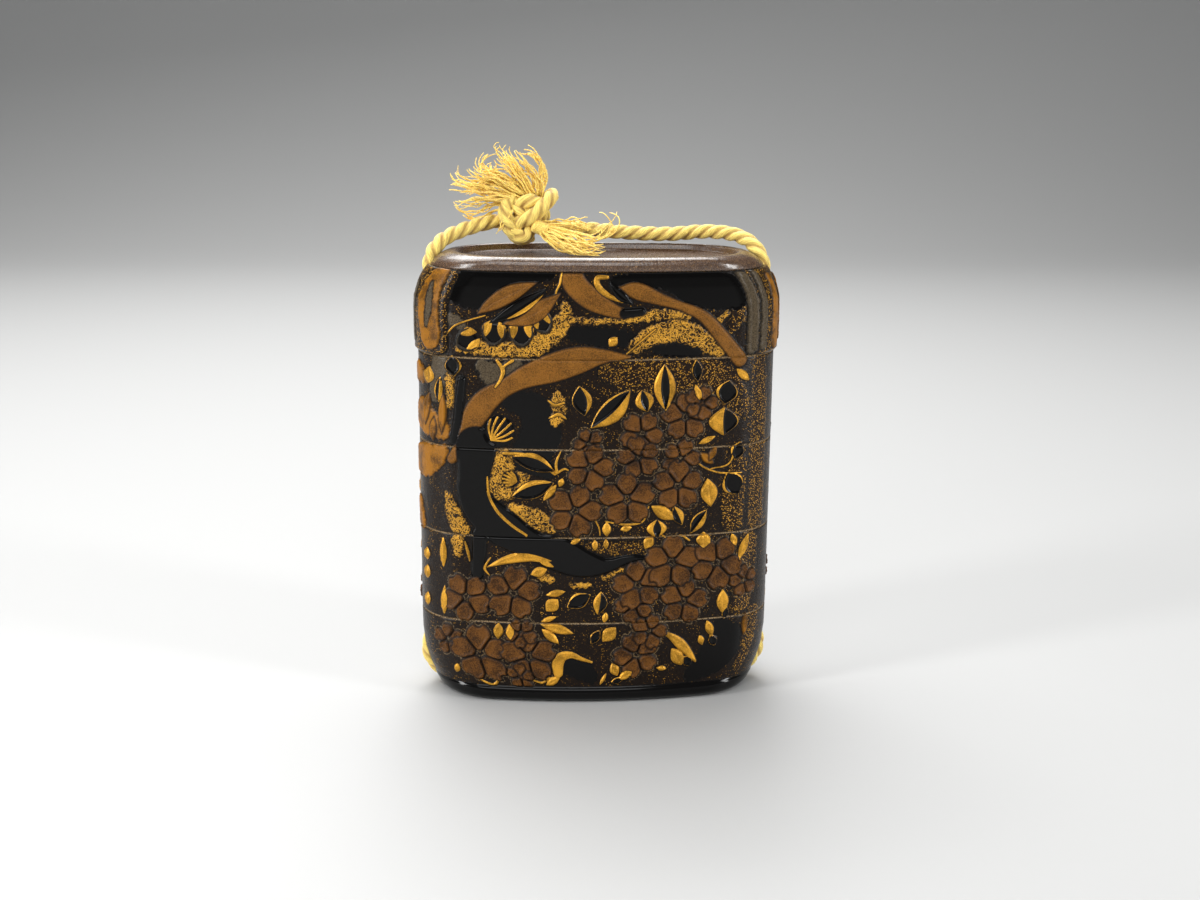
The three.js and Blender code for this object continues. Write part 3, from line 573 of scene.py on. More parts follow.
# Leaves as [x, z, length, width, direction, bend, style, finish]; a plain gold one stops early.
FRONT_LEAVES = [
    [-15.5, 68.8, 10.6, 2.9, 31, 0.5, "gold", "branch"],
    [-11.3, 67.3, 10.8, 2.9, 30, -0.9, "gold", "branch"],
    [-13.6, 67.7, 10.6, 2.2, 33, -0.5, "gold", "black"], [-12.4, 67.6, 7.4, 0.6, 36, -0.5],
    [3.1, 69.8, 5.4, 1.5, -42, -0.3, "gold", "black"], [-3.1, 52.3, 5.2, 2.9, 100, 0, "thin_right"],
    [1.5, 51, 9.2, 3.3, 45, -0.5, "right"], [7, 52.2, 3.9, 2.7, 105, 0, "core"],
    [10.3, 54.4, 7.8, 3.2, 92, 0, "core"], [20.4, 48.3, 4.8, 4.6, 90, 0, "left"],
    [20.8, 53.2, 4.2, 3.4, 80, 0, "black"], [15.8, 53.4, 3, 0.9, 108], [17.6, 45.3, 3.2, 0.9, 22],
    [15.6, 57, 4, 1.6, 95, 0, "black"], [1.8, 62, 2, 1.4, 50], [23.6, 56, 3.4, 1.2, 140],
    [-26.6, 53.4, 4.6, 1.5, 84, 0.2, "core"], [-29, 55.6, 3, 2.4, 80],
    [-24, 57.6, 3.6, 2.6, 96, 0, "black"], [-29.4, 50, 6, 1.9, 78, 0.3, "gold", "amber"],
    [-28, 46.6, 4.6, 1.5, 82, 0, "gold", "amber"], [-26, 49.6, 7.2, 1.5, 88, 0, "gold", "amber"],
    [-11, 41.6, 7.8, 2.6, -18, 0.4, "thin_left"], [-11, 37.3, 7.6, 2.7, 20, 0, "thin_left"],
    [-8.2, 36.9, 3.6, 1.1, 52], [-6.4, 38.6, 1.6, 0.9, 70], [18.2, 36.3, 5, 2.6, 98],
    [22.3, 37.6, 4.6, 3.4, 120, 0, "black"], [17.6, 42.2, 3.4, 1.4, 140, 0, "gold", "amber"],
    [18.6, 43, 2.8, 1.2, 60, 0, "gold", "amber"], [10.4, 33.2, 4.8, 1.9, -32],
    [12.9, 32.6, 3.8, 1.8, -66, 0, "left"], [16.4, 31.4, 5, 2, 55, 0, "right"],
    [9.4, 30.5, 3.2, 3, 90, 0, "core"], [1.1, 30.6, 2.6, 1.3, 92], [4.3, 30.7, 2, 1, 10],
    [23, 43.2, 3.4, 2.2, 70, 0, "black"], [-13.2, 24.4, 11.4, 1.5, 8, 1.2], [-10, 23.2, 3, 1.5, 20],
    [-8.8, 24.8, 3, 0.8, -24], [-7.8, 17.4, 2.9, 2.1, 48], [-7.2, 19.5, 3.4, 1.1, 12],
    [-3.4, 18.2, 4.6, 2.4, 30, 0, "black"], [0, 17.8, 4.2, 2.1, 82, -0.2, "left"],
    [21.1, 17, 4.4, 1.9, 91], [21.6, 15, 2.4, 1.2, 80, 0, "black"], [24.7, 26.4, 5, 1.4, 66],
    [22.8, 27.8, 2.4, 1.1, 112], [17.4, 28.2, 2.8, 2.2, 90], [8.1, 28.2, 2.6, 1.6, 60],
    [-0.8, 27.9, 2, 0.9, 92], [1, 28.1, 1.8, 0.8, 90], [-4, 28.6, 1.8, 0.8, 20],
    [-26.3, 25.7, 5.6, 1.2, 90], [-26.2, 17.3, 5.4, 1.3, 88], [-30.5, 24.6, 2.4, 1.5, 90],
    [-30.5, 21.4, 2.6, 1.6, 90], [-30.5, 16.6, 2.6, 1.4, 88], [-8.4, 14.9, 3, 0.8, 20],
    [1, 15.2, 2, 0.9, 80], [-16.8, 12.6, 3, 1.5, 86], [-14.8, 12.6, 2.8, 1.2, 94],
    [-7, 13.2, 6, 1.5, -16, 0.1], [-8.1, 11.9, 4, 1.3, -42], [1.7, 12.2, 3.4, 2.1, 48],
    [-0.6, 11.8, 3, 1.5, 60, 0, "black"], [13.6, 7.7, 4, 1.9, -54],
    [15.6, 6.8, 2.6, 1.4, -50, 0, "black"], [18.9, 12.4, 3.2, 1.3, -70], [17.5, 10.4, 2, 1, -70],
    [19.6, 10.2, 2.4, 1.4, -60, 0, "black"], [2.8, 5.9, 2.6, 1.5, -62], [4.8, 4.9, 2.6, 1.5, 30],
    [3.4, 3.9, 2.4, 1, 10, 0, "black"], [-8.4, 3.9, 3.4, 1.2, 28], [11.2, 5.8, 2, 0.8, -10],
    [0.8, 4.2, 2.6, 0.6, 62], [25.4, 12.6, 4.6, 1.1, 88, 0, "gold", "amber"], [-25.2, 5.4, 2, 0.9, 60],
]

# Blossoms as [x, z, radius, turn].
FRONT_BLOSSOMS = [
    [-2, 45.2, 2.6, 40], [13.8, 49.4, 4.2, 20], [6.6, 46.8, 3.8, 60], [16.4, 51.6, 3, 0],
    [-1.8, 41.2, 4.1, 0], [6.2, 42.8, 3.7, 30], [13.2, 42.4, 3.4, 70], [12.8, 37.8, 4.4, 90],
    [4.4, 35.7, 4.7, 20], [-4.2, 33.8, 4.6, 0], [-22.2, 18.3, 4.4, 50], [-14.3, 19.4, 4.8, 10],
    [5.8, 17.4, 3.4, 40], [6.4, 20.8, 4.4, 100], [24.8, 20.4, 3, 30], [14.2, 17.6, 4.2, 80],
    [12, 24.6, 4.8, 15], [19.8, 24, 4.8, 60], [-25.6, 10.4, 3, 20], [-20.2, 8.4, 5.2, 90],
    [-11.9, 8.2, 4.8, 20], [-13, 12.4, 2.8, 50], [6.4, 8.4, 4.2, 40], [8.4, 12.6, 3.2, 0],
    [-14, 4.6, 2.6, 10],
]

# Fans of moss and buds as [x, z, size, turn].
FANS = [[-16.5, 47, 2.6, 50], [-14.6, 39, 1.4, 160]]
BUDS = [[-21.6, 61.9, 3.1, 24], [-17.2, 63.1, 3.2, 84], [-12.8, 63.1, 3.3, 94], [-9.4, 64.9, 2.7, 116]]

# The back and the ends carry a plainer spray of the same kind; x runs as seen from behind.
BACK_PATCHES = [
    ("dust", 0.05, [[-22, 66, 2.5], [-10, 68, 2.2], [4, 70, 2.4], [20, 68, 2.2]]),
    ("dust", 0.05, [[-20, 8, 2.6], [-8, 6, 2.4], [8, 7, 2.2], [22, 9, 2.4]]),
    ("moss", 0.18, [[12, 9, 1.6], [8.6, 15, 1.3]]),
    ("moss", 0.18, [[-5, 33, 1.4], [-9, 36, 1.5], [-12.6, 35, 1]]),
    ("moss", 0.18, [[9, 52, 1.3], [13, 55, 1.6], [18, 54, 1]]),
    ("amber", 0.26, [[-30.5, 63.6, 1.6], [-30.8, 68.6, 1.8]]),
    ("amber", 0.26, [[30.6, 46.4, 2.3], [30, 41, 1.5]]),
    ("amber", 0.26, [[-31, 24, 1.8], [-30.6, 30, 1.4]]),
]
BACK_BRANCHES = [
    ("branch", [[21.5, 2.8, 2.2], [19, 12, 2], [14.6, 20.5, 1.8], [8, 28, 1.7], [1.6, 37.6, 1.5],
                [-3, 47, 1.1], [-9.6, 54.4, 0.8], [-16.5, 60.5, 0.4]]),
    ("branch", [[13.5, 22.2, 1.2], [18.4, 31, 0.9], [20.6, 40.5, 0.4]]),
    ("branch", [[-33, 8, 1.2], [-30.4, 18, 0.9], [-27, 26, 0.5]]),
    ("branch", [[32.4, 20, 0.9], [30, 28, 0.7], [31, 36, 0.4]]),
]
BACK_LEAVES = [
    [-14.5, 64.6, 7, 2.4, 40, 0.3, "right"], [3.8, 46.2, 6.4, 2.2, 60, 0, "left"],
    [16.5, 46, 6, 2.2, 110, 0, "core"], [-1.6, 24, 6.4, 2.4, 200, 0, "right"], [8.6, 12, 6, 2.2, 170],
    [-8, 60.6, 4, 1.5, 80], [24.4, 28.4, 4.4, 1.6, 70], [-27, 28.4, 3.6, 1.4, 60],
    [-25.6, 22.6, 3.4, 1.4, 20, 0, "left"], [33, 34.6, 4, 1.7, 70],
    [-33.6, 14.4, 4, 1.6, 120, 0, "left"], [-31.4, 50.4, 4.4, 1.8, 80, 0, "left"],
    [32.6, 24.6, 3.6, 1.5, 130, 0, "core"], [-33.4, 38.4, 4, 1.7, 70],
]
BACK_BLOSSOMS = [
    [-7.4, 50.2, 4.2, 20], [-1.4, 39.2, 4.4, 60], [19.2, 36.4, 4, 0], [10.4, 25, 4.3, 40],
    [17.4, 9, 4.2, 10], [-31.8, 44.6, 3, 10], [31.4, 16.6, 3.2, 50], [-32.8, 20, 2.8, 0],
]


def lay_side(wall, settings, patches, branches, lines, leaves, blossoms):
    """Lay one side's drawing on the wall, from the ground up."""
    for finish, height, knots in patches:
        lay_blot(wall, finish, knots, height)
    for finish, knots in branches:
        lay_stroke(wall, finish, knots, settings.branch_height)
    for knots in lines:
        lay_stroke(wall, "gold", knots, settings.leaf_height * 0.9, 0.16)
    for blossom in blossoms:
        lay_blossom(wall, settings, *blossom)
    for leaf in leaves:
        lay_leaf(wall, settings, *leaf)


def draw_ornament(front, back, settings):
    """Both sides of one tier; front and back are two charts of the same wall points."""
    lay_side(front, settings, PATCHES, FRONT_BRANCHES, [], [], [])
    for fan in FANS:
        lay_fan(front, settings, *fan)
    for bud in BUDS:
        lay_bud(front, settings, *bud)
    lay_side(front, settings, [], [], FRONT_LINES, FRONT_LEAVES, FRONT_BLOSSOMS)
    lay_side(back, settings, BACK_PATCHES, BACK_BRANCHES, [], BACK_LEAVES, BACK_BLOSSOMS)


# ------------------------------------------------------------------ meshes

def mesh_from(name, points, faces, finishes, slots=None, fields=None):
    """A smooth mesh object from arrays in millimetres, with its fields on its points."""
    mesh = bpy.data.meshes.new(name)
    mesh.from_pydata((np.asarray(points) * MM).tolist(), [], faces)
    for finish in finishes:
        mesh.materials.append(finish)
    if slots is not None:
        mesh.polygons.foreach_set("material_index", slots)
    for field, values in (fields or {}).items():
        attribute = mesh.attributes.new(field, "FLOAT", "POINT")
        attribute.data.foreach_set("value", np.asarray(values, np.float32))
    mesh.validate()
    mesh.shade_smooth()
    piece = bpy.data.objects.new(name, mesh)
    bpy.context.scene.collection.objects.link(piece)
    return piece


def ride_as(piece, slot, *nodes):
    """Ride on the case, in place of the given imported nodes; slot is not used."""
    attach(piece, BODY)
    if nodes:
        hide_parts(*nodes)


def ring_faces(rings, columns):
    """Quads between consecutive closed rings of the same number of points."""
    level = np.arange(rings - 1)[:, None] * columns
    a = (level + np.arange(columns)).ravel()
    b = (level + (np.arange(columns) + 1) % columns).ravel()
    return np.stack([a, b, b + columns, a + columns], 1)


def frames_along(path):
    """Tangents and turn-free normals along a path."""
    tangent = np.gradient(path, axis=0)
    tangent /= np.linalg.norm(tangent, axis=1)[:, None]
    normal = np.zeros_like(path)
    seed = np.eye(3)[np.argmin(np.abs(tangent[0]))]
    normal[0] = seed - tangent[0] * (seed @ tangent[0])
    normal[0] /= np.linalg.norm(normal[0])
    for i in range(1, len(path)):
        turned = normal[i - 1] - tangent[i] * (normal[i - 1] @ tangent[i])
        normal[i] = turned / np.linalg.norm(turned)
    return tangent, normal, np.cross(tangent, normal)


def sweep(path, radii, sides):
    """Points and faces of a capped tube; radii is one value, one per ring, or one per ring and side."""
    path = np.asarray(path, float)
    _, normal, other = frames_along(path)
    turn = 2 * math.pi * np.arange(sides) / sides
    radii = np.asarray(radii, float)
    radii = np.broadcast_to(radii[:, None] if radii.ndim == 1 else radii, (len(path), sides))
    outward = normal[:, None] * np.cos(turn)[:, None] + other[:, None] * np.sin(turn)[:, None]
    points = (path[:, None] + radii[..., None] * outward).reshape(-1, 3)
    faces = ring_faces(len(path), sides).tolist()
    faces.append(list(range(sides))[::-1])
    faces.append(list(range((len(path) - 1) * sides, len(path) * sides)))
    return points, faces


CURVE_SPANS = 24


def even_path(points, step):
    """A centripetal curve through the points at an even step, and its length."""
    knots = np.array(points, float)
    ends = np.vstack([2 * knots[0] - knots[1], knots, 2 * knots[-1] - knots[-2]])
    fine = []
    for a, b, c, d in zip(ends, ends[1:], ends[2:], ends[3:]):
        ab, bc, cd = (math.sqrt(np.linalg.norm(q - p)) for p, q in ((a, b), (b, c), (c, d)))
        leave = ((b - a) / ab - (c - a) / (ab + bc) + (c - b) / bc) * bc
        arrive = ((c - b) / bc - (d - b) / (bc + cd) + (d - c) / cd) * bc
        for t in np.linspace(0, 1, CURVE_SPANS, endpoint=False):
            fine.append(b + leave * t + (3 * (c - b) - 2 * leave - arrive) * t ** 2
                        + (2 * (b - c) + leave + arrive) * t ** 3)
    fine = np.array(fine + [knots[-1]])
    run = np.concatenate([[0], np.cumsum(np.linalg.norm(np.diff(fine, axis=0), axis=1))])
    places = np.linspace(0, run[-1], max(2, round(run[-1] / step) + 1))
    return np.stack([np.interp(places, run, fine[:, k]) for k in range(3)], 1), run[-1]


# ------------------------------------------------------------------ tiers

def wall_heights(profile, step):
    """Even heights along a profile, with each of its own levels kept."""
    levels = [level[0] for level in profile]
    heights = []
    for low, high in zip(levels, levels[1:]):
        count = max(1, round((high - low) / step))
        heights.extend(np.linspace(low, high, count, endpoint=False))
    return np.array(heights + [levels[-1]])


def profile_at(profile, heights):
    """End and face insets at each height."""
    table = np.array(profile, float)
    return np.interp(heights, table[:, 0], table[:, 1]), np.interp(heights, table[:, 0], table[:, 2])


def ear_shape(across, up):
    """How far inside the lobes at the lid's ends each point is, negative off them."""
    low, high = SEAMS[4] + 0.1, TOP - TOP_BAND + 0.1
    half = (high - low) / 2
    gap_x = LOBE_EDGE + LOBE_CORNER - np.abs(across)
    gap_z = np.abs(up - (low + high) / 2) - half + LOBE_CORNER
    away = np.hypot(np.maximum(gap_x, 0), np.maximum(gap_z, 0))
    away += np.minimum(np.maximum(gap_x, gap_z), 0)
    return LOBE_CORNER - away


def wall_base(heights, profile, counts):
    """Points of a tier's plain outside, ring by ring, and which way each of them faces."""
    rings = []
    for z, end_inset, face_inset in zip(heights, *profile_at(profile, heights)):
        x, y = plan(end_inset, face_inset, counts)
        rings.append(np.stack([x, y, np.full(len(x), z)], 1))
    base = np.array(rings)
    round_way = np.roll(base, -1, 1) - np.roll(base, 1, 1)
    normal = np.cross(round_way, np.gradient(base, axis=0))
    normal /= np.linalg.norm(normal, axis=2)[..., None]
    return base, normal


GRAIN = 0.012


def tier_wall(profile, counts, settings, has_ears=False, plain_above=None, plain_below=None):
    """Points, fields, ring count and column count of one tier's outside."""
    heights = wall_heights(profile, settings.front_step)
    base, normal = wall_base(heights, profile, counts)
    columns = base.shape[1]
    front_wrap, back_wrap = wraps(counts)
    up = np.repeat(heights, columns)
    front = Wall(np.tile(front_wrap, len(heights)), up)
    back = Wall(np.tile(back_wrap, len(heights)), up)
    back.height, back.edge, back.fields = front.height, front.edge, front.fields
    draw_ornament(front, back, settings)
    if has_ears:
        ear = ear_shape(front.across, up)
        on_ear = np.nonzero(ear > -REACH)[0]
        front.lay(on_ear, "dust", ear[on_ear], 0.04, 0.3)
        for finish, height, knots in EARS:
            lay_blot(front, finish, knots, height, 0.2, 0.25)
    height = front.height
    edge_gap = np.minimum(up - heights[0], heights[-1] - up)
    if plain_above is not None:
        height *= smooth(plain_above - up, 0, 0.3)
        front.lay(np.arange(len(up)), "dust", up - plain_above)
        edge_gap = up - heights[0]
    if plain_below is not None:
        height *= smooth(up - plain_below, 0, 0.25)
        front.lay(np.arange(len(up)), "black", plain_below - up)
        edge_gap = heights[-1] - up
    if has_ears:
        height += LOBE_PROUD * smooth(ear, -0.1, 0.5) * smooth(TOP - TOP_BAND - up, 0, 0.2)
    rng = np.random.default_rng(int(heights[0] * 10))
    grain = rng.normal(0, 1, len(up)) * GRAIN * (front.fields["black"] < 0)
    points = base + (normal * (height + grain).reshape(len(heights), columns, 1))
    points = points.reshape(-1, 3)
    points[:columns, 2] = heights[0]
    points[-columns:, 2] = heights[-1]
    fields = {name: front.fields[name] for name in FINISHES}
    fields["edge"] = front.edge
    fields["seam"] = np.minimum(edge_gap, REACH)
    return points, fields, len(heights), columns


def flat_ring(z, insets, counts):
    """A plain ring of the outline, for necks, sockets and wells."""
    x, y = plan(*insets, counts)
    return np.stack([x, y, np.full(len(x), z)], 1)


def tier_piece(name, before, wall, after, counts, finishes):
    """Closed tier: rings under the wall, the wall, and rings over it, capped at both ends."""
    points, fields, rings, columns = wall
    below = [flat_ring(z, insets, counts) for z, insets in before]
    above = [flat_ring(z, insets, counts) for z, insets in after]
    stack = np.vstack([*below, points, *above])
    total = len(below) + rings + len(above)
    quads = ring_faces(total, columns)
    faces = quads.tolist()
    faces.append(list(range(columns))[::-1])
    faces.append(list(range((total - 1) * columns, total * columns)))
    strip = np.arange(len(quads)) // columns
    outside = (strip >= len(below) - 1) & (strip < len(below) + rings)
    slots = np.concatenate([np.where(outside, 0, 1), [1, 1]]).astype(np.int32)
    if len(finishes) > 2:
        level = np.concatenate([stack[quads[:, 0], 2], [0, TOP]])
        slots[level > TOP - TOP_BAND] = 2
    lead, tail = len(below) * columns, len(above) * columns
    whole = {key: np.concatenate([np.full(lead, -REACH), values, np.full(tail, -REACH)])
             for key, values in fields.items()}
    whole["edge"] = np.abs(whole["edge"])
    whole["seam"] = np.abs(whole["seam"])
    return mesh_from(name, stack, faces, finishes, slots, whole)


WELL_INSETS = (NECK_INSETS[0] + NECK_WALL, NECK_INSETS[1] + NECK_WALL)
SOCKET_INSETS = (NECK_INSETS[0] - SLIDE_GAP, NECK_INSETS[1] - SLIDE_GAP)
SHOULDER_INSETS = (SEAM_BEVEL + 0.3, SEAM_BEVEL + 0.3)
EASE = 0.08


def eased(insets, by):
    """Both insets of a ring moved in by the same amount."""
    return insets[0] + by, insets[1] + by


def socket_rings(seam):
    """From the socket's ceiling down and out to the tier's lower edge."""
    roof = seam + NECK_HEIGHT + SLIDE_GAP
    return [(roof, eased(SOCKET_INSETS, EASE)), (roof, SOCKET_INSETS), (roof - EASE, SOCKET_INSETS),
            (seam + EASE, SOCKET_INSETS), (seam, SOCKET_INSETS), (seam, eased(SOCKET_INSETS, -EASE)),
            (seam, SHOULDER_INSETS)]


def neck_rings(seam, floor):
    """From the shoulder up the neck, over it and down into the well."""
    top = seam + NECK_HEIGHT
    return [(seam, SHOULDER_INSETS), (seam, eased(NECK_INSETS, -EASE)), (seam, NECK_INSETS),
            (seam + EASE, NECK_INSETS), (top - EASE, NECK_INSETS), (top, eased(NECK_INSETS, EASE)),
            (top, eased(WELL_INSETS, -EASE)), (top - EASE, WELL_INSETS), (floor + EASE, WELL_INSETS),
            (floor, eased(WELL_INSETS, EASE)), (floor, eased(WELL_INSETS, 2 * EASE))]


WAY_STEP = 1.2
WAY_SIDES = 20


def cord_way():
    """The solids of the cord's way through the tiers, for cutting them: its tube and the foot's slot."""
    wide = CORD_RADIUS + CORD_GAP
    path, _ = even_path(CORD_ROUTE, WAY_STEP)
    points, faces = sweep(path, wide, WAY_SIDES)
    fields = {name: np.full(len(points), -REACH) for name in FINISHES}
    fields["edge"] = fields["seam"] = np.full(len(points), REACH)
    tube = mesh_from("cord_way", points, faces, [], None, fields)
    half = RUN_X - 1
    groove = bpy.data.meshes.new("foot_groove")
    corners = [(x * MM, y * MM, z * MM)
               for x in (-half, half) for y in (-wide, wide) for z in (-UNDER_Z, UNDER_Z)]
    sides = [(0, 1, 3, 2), (4, 6, 7, 5), (0, 4, 5, 1), (2, 3, 7, 6), (0, 2, 6, 4), (1, 5, 7, 3)]
    groove.from_pydata(corners, [], sides)
    slot = bpy.data.objects.new("foot_groove", groove)
    bpy.context.scene.collection.objects.link(slot)
    return [tube, slot]


def cut(piece, cutters):
    """Cut the cutters out of a piece, and keep the result as its mesh."""
    for cutter in cutters:
        step = piece.modifiers.new("cut", "BOOLEAN")
        step.object = cutter
        step.solver = "MANIFOLD"
    bpy.context.view_layer.update()
    evaluated = piece.evaluated_get(bpy.context.evaluated_depsgraph_get())
    carved = bpy.data.meshes.new_from_object(evaluated)
    piece.modifiers.clear()
    piece.data = carved
    if not carved.polygons:
        raise RuntimeError(f"{piece.name} is empty after its cuts")


def build_tiers(settings, finishes, rim):
    """The foot, the three middle cases and the lid, each cut for the cord."""
    front = round(2 * TANGENT_X / settings.front_step) // 2 * 2
    counts = (front, round(END_LENGTH / settings.end_step), round(2 * TANGENT_X / settings.back_step))
    cutters = cord_way()
    made = []

    foot = tier_wall(FOOT_PROFILE, counts, settings, plain_below=FOOT_BAND)
    made.append(tier_piece("case_4_lacquer", [(0, (7, 4)), (0, (4.6, 1.6))], foot,
                           neck_rings(SEAMS[1], BOTTOM_FLOOR), counts, finishes))
    for index in (1, 2, 3):
        low, high = SEAMS[index], SEAMS[index + 1]
        profile = [[low, SEAM_BEVEL, SEAM_BEVEL], [low + SEAM_BEVEL, 0, 0], [high - SEAM_BEVEL, 0, 0],
                   [high, SEAM_BEVEL, SEAM_BEVEL]]
        wall = tier_wall(profile, counts, settings)
        floor = low + NECK_HEIGHT + SLIDE_GAP + FLOOR
        made.append(tier_piece(f"{TIERS[index]}_lacquer", socket_rings(low), wall, neck_rings(high, floor),
                               counts, finishes))
    wall = tier_wall(LID_PROFILE, counts, settings, has_ears=True, plain_above=TOP - TOP_BAND - 0.1)
    panel = TOP - PANEL_DROP
    foot_of_rim = (RIM_INSETS[0] + RIM_SLOPE, RIM_INSETS[1] + RIM_SLOPE)
    over = [(TOP, (6.2, 1.0)), (TOP - 0.08, (6.5, 1.15)), (TOP - 0.3, (6.68, 1.27)),
            (panel + 0.2, foot_of_rim), (panel + 0.04, eased(foot_of_rim, 0.1)),
            (panel, eased(foot_of_rim, 0.3)), (panel, eased(foot_of_rim, 0.6))]
    ceiling = panel - LID_CEILING
    under = [(ceiling, eased(WELL_INSETS, EASE)), (ceiling, WELL_INSETS), (ceiling - EASE, WELL_INSETS),
             (SEAMS[4] + NECK_HEIGHT + SLIDE_GAP, WELL_INSETS)] + socket_rings(SEAMS[4])[1:]
    made.append(tier_piece("lid_lacquer", under, wall, over, counts, [*finishes, rim]))
    for piece, node in zip(made, TIERS):
        cut(piece, cutters)
        ride_as(piece, "lacquer", node)
    for cutter in cutters:
        bpy.data.objects.remove(cutter)


# ------------------------------------------------------------------ cord, knot and threads

STRANDS = 3
LOBE_DEPTH = 0.33
CORD_STEP = 0.28
CORD_SIDES = 33
WRAP_STEP = 0.25
WRAP_SIDES = 27
STUB_STEP = 0.2
STUB_RADIUS = 1.15
STUB_SIDES = 28
THREAD_STEP = 0.55
THREAD_SIDES = 6
THREAD_SEED = 11
FULLNESS = 1.35


def twisted(path, step, settings, sides):
    """Points, faces and fields of a cord of twisted strands along a path."""
    turn = 2 * math.pi * np.arange(sides) / sides
    run = np.arange(len(path)) * step
    phase = STRANDS / 2 * (turn[None, :] + 2 * math.pi * run[:, None] / settings.lay_length)
    # crown is 1 on each strand's top and 0 in the groove between strands; the silk's material paints shade
    # and highlight by it.
    crown = np.abs(np.cos(phase))
    radii = CORD_RADIUS * (1 - LOBE_DEPTH * (1 - crown) ** 1.5)
    points, faces = sweep(path, radii, sides)
    fields = {
        "crown": crown.ravel(),
        "strand": (phase / math.pi).ravel(),
        "run": np.repeat(run, sides),
    }
    return points, faces, fields


def build_cord(settings, silk):
    """The cord, its path and its length."""
    path, length = even_path(CORD_ROUTE, CORD_STEP)
    step = length / (len(path) - 1)
    points, faces, fields = twisted(path, step, settings, CORD_SIDES)
    cord = mesh_from("silk_cord", points, faces, [silk], None, fields)
    ride_as(cord, "silk_cord", "cord")
    return cord, path, length


# The knot's wraps, each a stretch of the same cord with its ends tucked out of sight.
WRAPS = [
    [[-11.2, 9.4, 83.8], [-13.2, 8, 83.7], [-14.9, 6.6, 82.4], [-15.2, 5.4, 80.1], [-14.2, 5.2, 77.9],
     [-12.6, 6.6, 76.6], [-11, 8.6, 76.9]],
    [[-14, 6.8, 78.2], [-12.6, 5.2, 79.4], [-10.8, 4.7, 80.4], [-9.1, 5.1, 81.9], [-7.7, 6.4, 83.3],
     [-7.3, 8.1, 83.7], [-8.2, 9.5, 82.8], [-9.8, 10, 81.2]],
    [[-14.6, 6.4, 80.4], [-13.6, 5.2, 77.6], [-12.1, 5.1, 77], [-11, 5.9, 78.6], [-10.6, 7, 80]],
    [[-13.6, 8.4, 78.2], [-10.6, 8.8, 78.2], [-8.8, 8.6, 79.8], [-9.6, 8.2, 82], [-12.2, 8, 83]],
    [[-13, 6.8, 82.2], [-11.6, 6, 82.8], [-9.8, 6.6, 82.6], [-9.2, 7.4, 80.6], [-10.4, 7.4, 78.8]],
    [[-13.8, 7.6, 82.8], [-13, 6.2, 81.4], [-12.2, 6, 80], [-11.2, 7, 78.8]],
    [[-11.6, 6.8, 78.8], [-11.4, 6.6, 80.6], [-11, 6.8, 82.2], [-10.6, 7.6, 83.4]],
]


def joined(parts):
    """Points and faces of several (points, faces) parts as one."""
    all_points, all_faces = [], []
    start = 0
    for points, faces in parts:
        all_points.append(points)
        all_faces += [[i + start for i in face] for face in faces]
        start += len(points)
    return np.vstack(all_points), all_faces


def build_knot(settings, silk):
    """The knot: stretches of the same cord drawn tight round each other."""
    parts, all_fields = [], {}
    for wrap in WRAPS:
        path, length = even_path(wrap, WRAP_STEP)
        points, faces, fields = twisted(path, length / (len(path) - 1), settings, WRAP_SIDES)
        parts.append((points, faces))
        for key, values in fields.items():
            all_fields.setdefault(key, []).append(values)
    fields = {key: np.concatenate(values) for key, values in all_fields.items()}
    knot = mesh_from("knot_wraps", *joined(parts), [silk], None, fields)
    ride_as(knot, "silk_cord", "cord_knot")
    return knot


